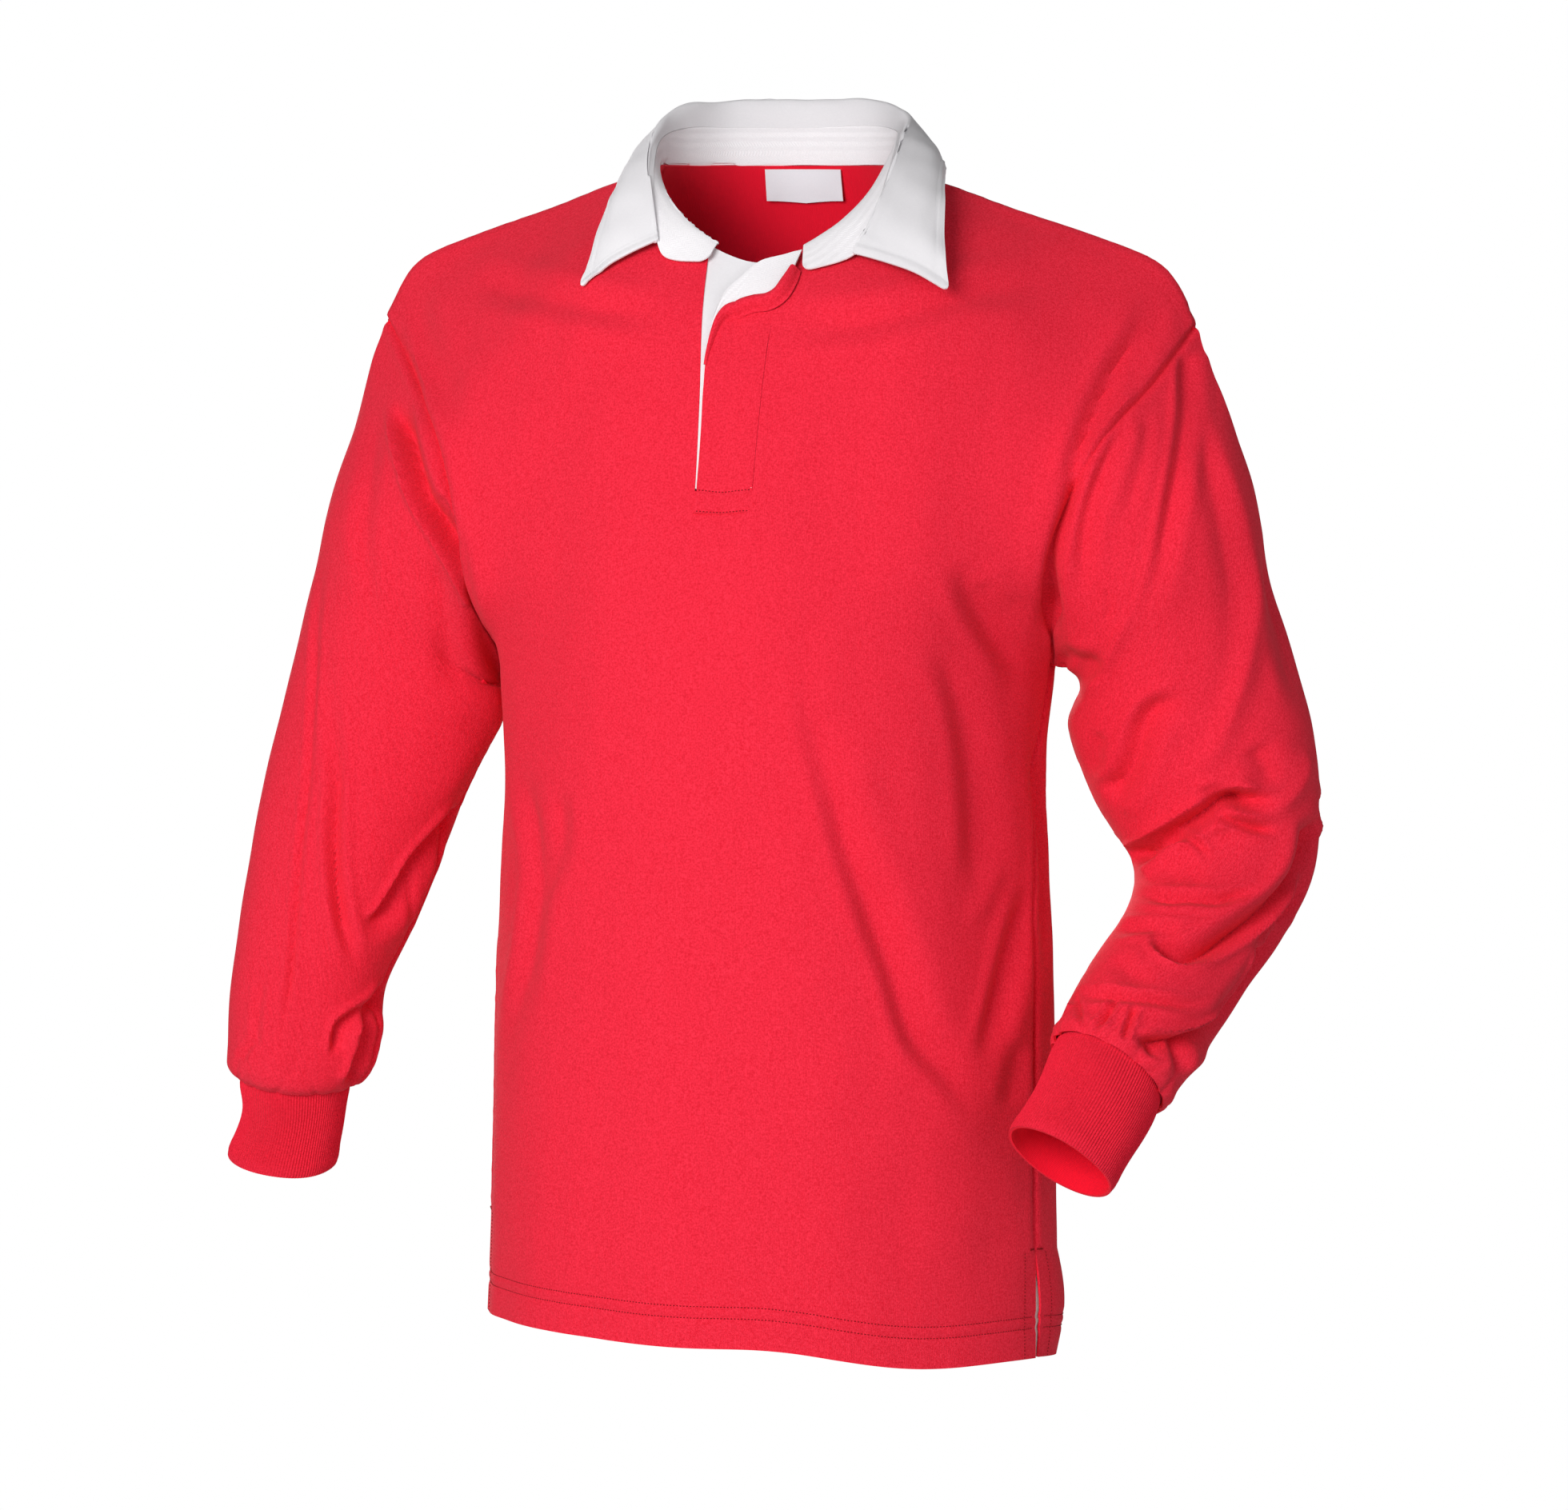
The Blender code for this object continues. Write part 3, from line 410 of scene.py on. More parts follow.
@dataclass
class SleevePattern:
    """Shape of a sleeve and its cuff: rings from below the armhole to the cuff's mouth."""

    side: int
    rings: tuple[Ring, ...]
    cuff: tuple[Ring, ...]

    def ring(self, ring: Ring, axis: Array, angles: Array) -> Array:
        """Return one ring, from the underarm seam round by the front.

        Args:
            ring: The ring's sizes.
            axis: Direction down the arm.
            angles: Angle of each point from the underarm seam.

        Returns:
            A point for each angle.
        """
        lift = math.radians(ring.lift)
        across = np.array([self.side * math.cos(lift), 0.0, math.sin(lift)])
        ahead = unit(np.cross(axis, across))
        if ahead[1] > 0:
            ahead = -ahead
        turn = angles[:, None]
        centre = np.array([ring.x, ring.y, ring.z])
        return centre - across * ring.across * np.cos(turn) + ahead * ring.deep * np.sin(turn)

    def loops(self, armhole: Array, angles: Array) -> Array:
        """Return the armhole and every ring, each with a point for each angle.

        Args:
            armhole: Points of the armhole.
            angles: Angle of each point from the underarm seam.

        Returns:
            The rows of points down the arm.
        """
        rows = self.rings + self.cuff
        places = np.linspace(0.0, TURN, CENTRE_SPOTS + 1)[:-1]
        middle = sample(closed_up(armhole), np.append(angles, TURN), places).mean(axis=0)
        centres = np.array([middle] + [[ring.x, ring.y, ring.z] for ring in rows])
        axes = np.gradient(centres, axis=0)
        return np.array([armhole] + [self.ring(r, a, angles) for r, a in zip(rows, axes[1:])])


LEFT_ARM = SleevePattern(
    side=1,
    rings=(
        Ring("cap", 0.242, 0.026, -0.248, 0.085, 0.066, 49.0),
        Ring("upper", 0.250, 0.034, -0.288, 0.069, 0.061, 29.0),
        Ring("biceps", 0.255, 0.041, -0.330, 0.073, 0.058, 12.0),
        Ring("low arm", 0.2675, 0.046, -0.372, 0.069, 0.055, 8.0),
        Ring("above elbow", 0.2775, 0.048, -0.405, 0.062, 0.052, 4.0),
        Ring("elbow", 0.2815, 0.042, -0.435, 0.057, 0.049, -4.0),
        Ring("below elbow", 0.276, 0.027, -0.462, 0.051, 0.047, -12.0),
        Ring("forearm", 0.264, 0.006, -0.488, 0.046, 0.045, -18.0),
        Ring("low forearm", 0.250, -0.017, -0.513, 0.044, 0.043, -21.0),
        Ring("wrist", 0.238, -0.039, -0.538, 0.042, 0.040, -25.0),
        Ring("cuff seam", 0.228, -0.055, -0.558, 0.038, 0.036, -29.0),
    ),
    cuff=(
        Ring("middle", 0.220, -0.071, -0.581, 0.036, 0.034, -28.0),
        Ring("mouth", 0.206, -0.090, -0.610, 0.035, 0.033, -27.0),
    ),
)
RIGHT_ARM = SleevePattern(
    side=-1,
    rings=(
        Ring("cap", -0.238, 0.024, -0.250, 0.082, 0.066, 52.0),
        Ring("upper", -0.247, 0.022, -0.286, 0.067, 0.060, 32.0),
        Ring("biceps", -0.256, 0.023, -0.330, 0.068, 0.058, 8.0),
        Ring("low arm", -0.271, 0.021, -0.380, 0.066, 0.056, 2.0),
        Ring("elbow", -0.285, 0.018, -0.432, 0.061, 0.053, 0.0),
        Ring("below elbow", -0.297, 0.015, -0.477, 0.056, 0.050, -3.0),
        Ring("forearm", -0.308, 0.014, -0.513, 0.049, 0.048, -3.0),
        Ring("wrist", -0.311, 0.015, -0.542, 0.048, 0.046, 0.0),
        Ring("blouse", -0.315, 0.016, -0.562, 0.045, 0.044, 6.0),
        Ring("cuff seam", -0.319, 0.018, -0.571, 0.036, 0.035, 8.0),
    ),
    cuff=(
        Ring("middle", -0.322, 0.023, -0.593, 0.033, 0.032, 8.0),
        Ring("mouth", -0.333, 0.033, -0.623, 0.035, 0.033, 10.0),
    ),
)


# ---------------------------------------------------------------- creases


@dataclass(frozen=True)
class Crease:
    """A soft trough, or a ridge where depth is negative, drawn on a flat plane.

    path holds points in millimetres, each across,up on the plane. lean makes one bank steeper,
    and lip is the height of the bulge beside the trough as a share of its depth. The crease
    rises over its share start and sinks over its share end. on names the pieces that it
    reaches; one that reaches several pieces runs on across their seam.
    """

    name: str
    path: str
    width: float
    depth: float
    lean: float = 0.0
    lip: float = 0.3
    start: float = 0.25
    end: float = 0.35
    on: tuple[str, ...] = ()

    def heights(self, flat: Array) -> Array:
        """Return how far the crease raises each point.

        Args:
            flat: Places of the points on the drawing plane, in millimetres.

        Returns:
            Heights in millimetres, negative in the trough.
        """
        bends = np.array([spot.split(",") for spot in self.path.split()], float)
        line = smooth(bends, np.linspace(0.0, len(bends) - 1.0, CREASE_SPOTS))
        lengths = run_lengths(line)
        reach = self.width * (1 + abs(self.lean)) * 3.0
        inside = (flat > line.min(axis=0) - reach) & (flat < line.max(axis=0) + reach)
        near = inside.all(axis=-1)
        heights = np.zeros(flat.shape[:-1])
        spots = flat[near]
        if not len(spots):
            return heights
        runs = np.diff(line, axis=0)
        away = spots[:, None] - line[:-1]
        part = np.clip((away * runs).sum(axis=-1) / (runs**2).sum(axis=-1), 0.0, 1.0)
        gaps = away - part[..., None] * runs
        closest = np.argmin((gaps**2).sum(axis=-1), axis=1)
        order = np.arange(len(spots))
        gap, run = gaps[order, closest], runs[closest]
        share = np.interp(closest + part[order, closest], np.arange(len(line)), lengths) / lengths[-1]
        hand = np.sign(run[:, 0] * gap[:, 1] - run[:, 1] * gap[:, 0])
        t = np.linalg.norm(gap, axis=1) / (self.width * (1 + self.lean * hand))
        fade = ease(share, 0.0, self.start) * (1 - ease(share, 1 - self.end, 1.0))
        shape = -np.exp(-(t**1.6)) + self.lip * np.exp(-(((t - 1.9) / 0.8) ** 2))
        heights[near] = self.depth * fade * shape
        return heights


@dataclass(frozen=True)
class CreaseSheet:
    """Creases drawn on a plane that faces the cloth from one azimuth."""

    azimuth: float
    creases: tuple[Crease, ...]
    distance: float = 4.0
    centre_across: float = 0.0095
    centre_up: float = -0.3645

    def flatten(self, points: Array) -> tuple[Array, Array]:
        """Return where points lie on the plane, in millimetres, seen from the plane's azimuth.

        Args:
            points: Points in the wearer's frame.

        Returns:
            The places on the plane, and the direction towards the viewer.
        """
        angle = math.radians(self.azimuth)
        across = np.array([math.cos(angle), math.sin(angle), 0.0])
        ahead = np.array([math.sin(angle), -math.cos(angle), 0.0])
        scale = self.distance / (self.distance - points @ ahead) / MM
        flat_x = (points @ across - self.centre_across) * scale
        flat_y = (points[..., 2] - self.centre_up) * scale
        return np.stack([flat_x, flat_y], axis=-1), ahead

    def heights(self, points: Array, normals: Array, piece: str, inside: Array) -> Array:
        """Return how far the creases raise the points of a piece, in metres.

        Args:
            points: Grid of points.
            normals: Outward normals of the points.
            piece: Name of the piece.
            inside: 0 at the seams of the piece and 1 away from them.

        Returns:
            A height for each point.
        """
        flat, ahead = self.flatten(points)
        facing = ease(normals @ ahead, -0.05, 0.30)
        total = np.zeros(points.shape[:-1])
        for crease in self.creases:
            if piece in crease.on:
                total += crease.heights(flat) * (inside if len(crease.on) == 1 else 1.0)
        return total * facing * MM


def laid(on: tuple[str, ...], *creases: Crease) -> tuple[Crease, ...]:
    """Return creases that lie on the named pieces."""
    return tuple(replace(crease, on=on) for crease in creases)


FRONT = ("front_panel",)
ARM_L = ("sleeve_left",)
ARM_R = ("sleeve_right",)
BACK = ("back_panel",)
HOLE_L = FRONT + ARM_L
HOLE_R = FRONT + ARM_R
LEAF = ("collar_leaf",)

FRONT_CREASES = CreaseSheet(azimuth=15.0, creases=(
    *laid(FRONT,
        Crease("long drag", "3,97 14,60 14,30 24,-8 38,-56 52,-96 67,-134 75,-162 84,-181 104,-203 126,-237",
               9.0, 6.4, 0.35, 0.3, 0.6, 0.2),
        Crease("drag hollow", "52,-60 68,-108 84,-150 106,-190 130,-222", 15.0, 2.6, 0.0, 0.2),
        Crease("under bust", "107,124 118,97 133,74 144,58 152,34", 9.0, 5.4, 0.2, 0.3, 0.25, 0.4),
        Crease("bust side", "122,108 140,92 156,84", 10.0, 2.4, 0.0, 0.1),
        Crease("bust fall", "92,72 106,44 114,14 118,-16 120,-50 121,-86", 9.0, 4.4, 0.2, 0.3, 0.2, 0.2),
        Crease("side ridge", "137,-64 126,-92 110,-110", 6.0, -2.0, 0.0, 0.1),
        Crease("side fall", "155,-78 147,-104 140,-131 133,-158 127,-180 121,-198",
               6.4, 5.4, 0.2, 0.4, 0.2),
        Crease("side fall low", "147,-176 145,-202 140,-226", 6.0, 3.4),
        Crease("right side", "-166,-2 -160,-36 -156,-68 -157,-96 -160,-124 -165,-154 -171,-186",
               5.4, 6.0, 0.3),
        Crease("right side lens", "-144,-18 -141,-46 -144,-72 -152,-96", 6.0, 4.6),
        Crease("waist swell", "-90,-60 -60,-140 -70,-220", 24.0, 2.0, 0.0, 0.2),
        Crease("under left tip", "-200,300 -172,291 -120,280 -68,272", 8.0, 4.2, 0.0, 0.4),
        Crease("under right tip", "-6,268 30,269 60,273 84,279 120,290 180,300", 8.0, 3.8, 0.0, 0.4),
        Crease("shoulder dent", "-236,304 -226,268 -214,236 -204,200", 8.0, 3.0, 0.0, 0.4),
        Crease("armhole drag", "232,292 223,266 208,242 195,216 187,195 181,172",
               6.6, 6.2, 0.1, 0.4, 0.3, 0.05),
        Crease("armhole drag upper", "238,284 234,266 226,250 218,232 213,217", 4.6, 2.6, 0.0, 0.4),
    ),
    *laid(HOLE_L,
        Crease("armhole depth", "184,186 178,158 171,132 167,106 166,74", 4.8, 12.0, 0.0, 0.0, 0.2, 0.15),
    ),
    *laid(FRONT,
        Crease("armhole bulge", "-234,262 -219,222 -207,190 -201,158 -191,120 -181,78 -174,50",
               7.0, -4.5, 0.0, 0.0, 0.25, 0.25),
    ),
    *laid(LEAF,
        Crease("roll dent", "-12,414 -6,402 0,392", 3.2, 1.6, 0.3, 0.6),
        Crease("roll dent side", "-12,412 -16,402 -22,396", 3.0, 1.0, 0.0, 0.5),
        Crease("leaf wave", "78,376 73,350 68,330 64,310", 6.0, 2.0, 0.0, 0.5),
        Crease("leaf wave outer", "93,362 96,330 98,304", 6.0, 1.2, 0.0, 0.5),
        Crease("leaf wave left", "-84,372 -92,340 -104,312", 6.0, 1.4, 0.0, 0.5),
    ),
    *laid(ARM_L,
        Crease("cap fold", "213,216 206,197 198,176 190,152 187,134 186,113 188,92",
               5.0, 4.6, 0.2, 0.3, 0.1, 0.4),
        Crease("cap fold middle", "226,219 226,195 219,168 211,140", 4.0, 1.6),
        Crease("cap fold long", "250,254 250,219 247,192 242,163 238,140 234,118 226,92 221,74",
               5.0, 4.6, 0.3, 0.4, 0.04, 0.5),
        Crease("cap fold outer", "254,256 260,229 264,195 270,163 275,134 279,103 276,66 272,42",
               9.0, 3.0, 0.2, 0.2, 0.2, 0.5),
        Crease("outer swell", "261,240 269,203 280,166 288,134 293,97 288,55 275,13 264,-4 248,-13 225,-24",
               7.0, -4.6, 0.0, 0.1),
        Crease("outer fall", "298,140 305,108 316,56 326,18", 8.0, 5.5, 0.2, 0.2),
        Crease("armpit hook", "199,103 204,97 203,88 197,86", 2.2, 1.8),
        Crease("armpit ridge", "219,97 208,71 197,50 184,31 176,18", 5.0, -3.4, 0.0, 0.0),
        Crease("crook", "166,62 184,55 204,57", 6.2, 5.5, 0.0, 0.4),
        Crease("arm hollow", "252,36 232,30 222,16 218,1 211,-14 201,-24", 7.0, 8.5, 0.3, 0.3, 0.3, 0.1),
        Crease("arm hollow inner", "197,15 194,3 193,-12", 5.0, 3.4),
        Crease("elbow dent", "294,8 300,-5 309,-20", 8.0, 4.8, 0.0, 0.2),
        Crease("elbow rim", "323,8 325,-12 312,-31 294,-36", 5.0, -3.0, 0.0, 0.1),
        Crease("elbow main", "216,-64 232,-54 250,-43 266,-33 279,-27 292,-27 310,-30",
               4.8, 14.0, -0.3, 0.3, 0.04, 0.25),
        Crease("elbow core", "258,-30 270,-26 282,-26 296,-31", 5.0, 8.0, 0.0, 0.4),
        Crease("elbow second", "268,-36 282,-41 294,-45 310,-47", 3.2, 7.0),
        Crease("elbow roll", "229,-66 237,-56 249,-52 259,-56 267,-69", 2.4, 3.4, 0.0, 0.6),
        Crease("roll hollow", "236,-78 250,-74 266,-80", 8.0, 2.8, 0.0, 0.2),
        Crease("roll foot", "218,-85 236,-90 254,-90 271,-91 288,-87 306,-83", 3.2, 5.0, 0.0, 0.4),
        Crease("comma",
               "230,-109 236,-119 248,-126 265,-124 283,-114 300,-103 315,-91 326,-76 333,-58 335,-36",
               5.5, 15.0, 0.45, 0.2, 0.08, 0.1),
        Crease("flap edge", "252,-112 276,-101 290,-92 304,-80 316,-65 324,-48", 5.0, -2.4, 0.0, 0.0),
        Crease("forearm drag", "202,-111 219,-108 233,-108 248,-109 262,-106", 3.0, 3.4, 0.0, 0.4),
        Crease("forearm dent", "205,-126 219,-138 232,-136", 6.0, 3.2),
        Crease("forearm low", "180,-151 202,-151 225,-153 248,-156 272,-153", 3.0, 4.4, 0.0, 0.4),
        Crease("underside", "303,-118 294,-142 282,-159 264,-172 243,-178 219,-178",
               5.0, 13.0, 0.5, 0.3, 0.15, 0.1),
        Crease("underside shade", "336,-58 330,-86 313,-118 293,-146 271,-172",
               12.0, 9.0, 0.4, 0.2, 0.15, 0.1),
        Crease("wrist fold", "254,-174 246,-188 241,-200", 3.6, 6.5, 0.0, 0.4),
        Crease("wrist fold inner", "231,-180 229,-190", 2.8, 4.0),
        Crease("gather one", "209,-152 195,-174", 2.0, 4.4, 0.0, 0.5, 0.2, 0.05),
        Crease("gather two", "182,-149 188,-171", 2.0, 3.6, 0.0, 0.5, 0.2, 0.05),
        Crease("gather three", "178,-152 169,-174", 2.2, 4.0, 0.0, 0.5, 0.2, 0.05),
        Crease("gather four", "220,-156 212,-179", 2.0, 3.6, 0.0, 0.5, 0.2, 0.05),
    ),
    *laid(HOLE_R,
        Crease("cap border", "-244,276 -238,258 -232,242 -226,227 -223,216", 2.8, 4.0),
    ),
    *laid(ARM_R,
        Crease("cap drag", "-243,222 -240,204 -236,186 -229,164 -219,145 -208,127 -198,110 -191,96",
               5.4, 15.0, 0.42, 0.3, 0.15, 0.03),
        Crease("cap drag wide", "-226,160 -213,140 -201,124 -193,110", 8.0, 4.0, 0.0, 0.0),
    ),
    *laid(HOLE_R,
        Crease("seam shadow", "-219,164 -213,158 -208,142 -203,128", 3.0, 4.5, 0.0, 0.2),
    ),
    *laid(ARM_R,
        Crease("arm drag", "-254,224 -260,176 -263,134 -259,100 -260,66", 5.0, 2.6),
        Crease("arm drag inner", "-223,124 -215,103 -211,82 -209,60 -203,34", 7.0, 4.2, 0.0, 0.2),
        Crease("thin crease",
               "-286,146 -293,82 -296,24 -299,-16 -303,-48 -306,-85 -308,-117 -311,-150 -315,-184",
               2.2, 2.6, 0.2, 0.4, 0.3, 0.15),
        Crease("thin crease low", "-327,-140 -330,-164 -331,-184", 2.4, 1.6, 0.0, 0.4, 0.2, 0.1),
        Crease("cuff pinch", "-333,-178 -339,-190", 2.2, 2.0, 0.0, 0.4, 0.2, 0.1),
        Crease("front drag", "-284,66 -282,11 -281,-18 -282,-48 -281,-74 -277,-101 -272,-117 -266,-138",
               4.0, 7.0, 0.1, 0.4, 0.6, 0.2),
        Crease("elbow hollow", "-202,-30 -219,-51 -232,-67 -243,-86 -254,-102 -265,-106",
               4.8, 10.0, 0.4, 0.3, 0.15, 0.2),
        Crease("underarm seam", "-231,-68 -234,-93 -237,-120", 1.8, 1.6),
        Crease("wrist drag", "-248,-142 -260,-156 -271,-164 -278,-172 -280,-190",
               3.4, 7.0, 0.2, 0.4, 0.15, 0.2),
        Crease("wrist drag low", "-250,-150 -260,-166 -263,-182 -268,-198 -273,-208",
               3.8, 9.0, 0.2, 0.4, 0.15, 0.1),
        Crease("inner swell", "-222,110 -206,80 -194,52 -186,22 -198,0 -210,-20 -218,-40 -226,-64",
               12.0, -5.0, 0.0, 0.0),
    ),
))

BACK_CREASES = CreaseSheet(azimuth=187.0, creases=(
    *laid(BACK,
        Crease("blade drag left", "-196,226 -174,166 -150,104 -134,36", 9.5, 8.5, 0.3),
        Crease("blade drag left inner", "-158,170 -130,120 -96,80", 10.0, 5.0, 0.2),
        Crease("blade drag right", "190,214 168,152 146,92 136,22", 10.0, 8.0, -0.3),
        Crease("armpit drag left", "-146,60 -124,34 -92,10 -50,-4", 9.0, 6.0, 0.2),
        Crease("armpit drag right", "140,44 116,12 88,-14 56,-30", 9.0, 5.5, -0.2),
        Crease("back fall left", "-96,64 -72,-10 -44,-80 -8,-150 28,-206", 11.0, 9.5, 0.35),
        Crease("back fall right", "112,26 96,-50 70,-120 50,-196", 12.0, 7.0, -0.3),
        Crease("back low", "-116,-84 -128,-160 -108,-244", 12.0, 5.5, 0.2, 0.2),
        Crease("back low right", "128,-104 120,-170 100,-232", 12.0, 5.0, -0.2, 0.2),
        Crease("waist drag", "-140,-46 -112,-72 -78,-82 -34,-76", 9.0, 4.5, 0.2),
        Crease("yoke sag", "-94,304 -30,284 36,284 100,306", 11.0, 4.5, 0.2, 0.2),
        Crease("yoke sag low", "-80,258 -10,238 70,252", 13.0, 4.5, 0.2, 0.2),
        Crease("spine fall", "22,164 12,84 26,0", 13.0, 3.6, 0.2, 0.2),
        Crease("hem fall", "20,-226 36,-280 30,-336", 14.0, 4.2, 0.2, 0.2),
        Crease("hem fall left", "-70,-230 -80,-286 -70,-338", 13.0, 3.8, 0.2, 0.2),
    ),
    *laid(ARM_L,
        Crease("left arm cap", "-228,210 -236,150 -230,96", 7.0, 8.0, 0.2, 0.4),
        Crease("left arm long", "-250,230 -268,160 -276,90 -270,30", 7.0, 8.5, 0.2, 0.4),
        Crease("left arm inner", "-206,90 -224,46 -236,8", 6.0, 6.5, 0.0, 0.4),
        Crease("left elbow", "-226,-26 -256,-42 -290,-38 -320,-20", 5.5, 9.0, 0.2, 0.5),
        Crease("left elbow low", "-232,-66 -258,-90 -288,-98 -314,-84", 6.0, 9.0, 0.2, 0.4),
        Crease("left elbow fan", "-250,-58 -276,-68 -300,-64", 5.0, 5.0, 0.0, 0.4),
        Crease("left forearm", "-212,-118 -238,-148 -262,-180", 5.5, 7.5, 0.2, 0.4),
        Crease("left wrist", "-196,-140 -210,-172 -222,-196", 4.6, 6.0, 0.0, 0.4),
    ),
    *laid(ARM_R,
        Crease("right arm cap", "216,206 232,150 226,90", 7.0, 8.5, -0.2, 0.4),
        Crease("right arm long", "262,120 276,40 288,-40 304,-120", 7.0, 8.5, -0.2, 0.4),
        Crease("right arm inner", "206,70 222,20 240,-24", 6.5, 6.5, 0.0, 0.4),
        Crease("right elbow", "232,-18 262,-36 296,-36 328,-20", 6.0, 8.5, -0.2, 0.4),
        Crease("right elbow low", "240,-62 270,-80 304,-76", 6.0, 6.5, 0.0, 0.4),
        Crease("right forearm", "258,-96 284,-126 314,-132", 6.0, 8.0, 0.0, 0.4),
        Crease("right wrist", "278,-146 290,-176 294,-200", 5.0, 7.0, 0.0, 0.4),
        Crease("right wrist outer", "318,-150 322,-178 320,-200", 4.6, 5.0, 0.0, 0.4),
    ),
))

SIDE_CREASES = CreaseSheet(azimuth=100.0, centre_across=0.0, creases=(
    *laid(FRONT + BACK,
        Crease("side fall", "-30,20 -20,-60 -34,-150", 10.0, 6.0),
    ),
    *laid(ARM_L,
        Crease("outer arm", "40,180 30,110 44,40", 7.0, 7.5, 0.2, 0.4),
        Crease("outer arm back", "66,150 72,90 64,30", 7.0, 5.5, 0.0, 0.4),
        Crease("outer elbow", "-10,-30 24,-48 58,-40", 6.0, 7.0, 0.2, 0.4),
        Crease("outer forearm", "-70,-130 -40,-112 -6,-100", 6.0, 6.0, 0.0, 0.4),
    ),
))

OTHER_SIDE_CREASES = CreaseSheet(azimuth=262.0, centre_across=0.0, creases=(
    *laid(FRONT + BACK,
        Crease("other side fall", "26,-20 28,-90 14,-180", 11.0, 4.5),
    ),
    *laid(ARM_R,
        Crease("other outer arm", "-50,180 -36,110 -46,40", 7.0, 8.0, 0.2, 0.4),
        Crease("other arm front", "-4,150 6,90 -2,36", 7.0, 5.5, 0.0, 0.4),
        Crease("other elbow", "-66,-66 -28,-86 12,-78", 6.0, 8.0, 0.2, 0.4),
        Crease("other elbow high", "-58,-24 -30,-34 -4,-26", 6.0, 5.5, 0.0, 0.4),
        Crease("other forearm", "-54,-142 -22,-162 10,-154", 5.5, 6.5, 0.0, 0.4),
    ),
))

SHEETS = (FRONT_CREASES, BACK_CREASES, SIDE_CREASES, OTHER_SIDE_CREASES)


@dataclass(frozen=True)
class Ripple:
    """Gentle unevenness of a cloth: seeded waves that run in several directions."""

    seed: int
    height: float
    shortest: float
    longest: float
    count: int
    stretch: Trio = (1.0, 1.0, 1.0)

    def heights(self, points: Array) -> Array:
        """Return the height of the waves at each point.

        Args:
            points: Points in the wearer's frame.

        Returns:
            A height for each point, in metres.
        """
        random = np.random.default_rng(self.seed)
        total = np.zeros(points.shape[:-1])
        for _ in range(self.count):
            direction = unit(random.normal(size=3)) * np.array(self.stretch)
            length = random.uniform(self.shortest, self.longest)
            phase = random.uniform(0.0, TURN)
            total += np.sin(points @ direction * TURN / length + phase)
        return total * self.height / math.sqrt(self.count)


# ---------------------------------------------------------------- cloth


class Border(Enum):
    """The four borders of a piece of cloth."""

    FIRST_ROW = "first row"
    LAST_ROW = "last row"
    FIRST_COLUMN = "first column"
    LAST_COLUMN = "last column"


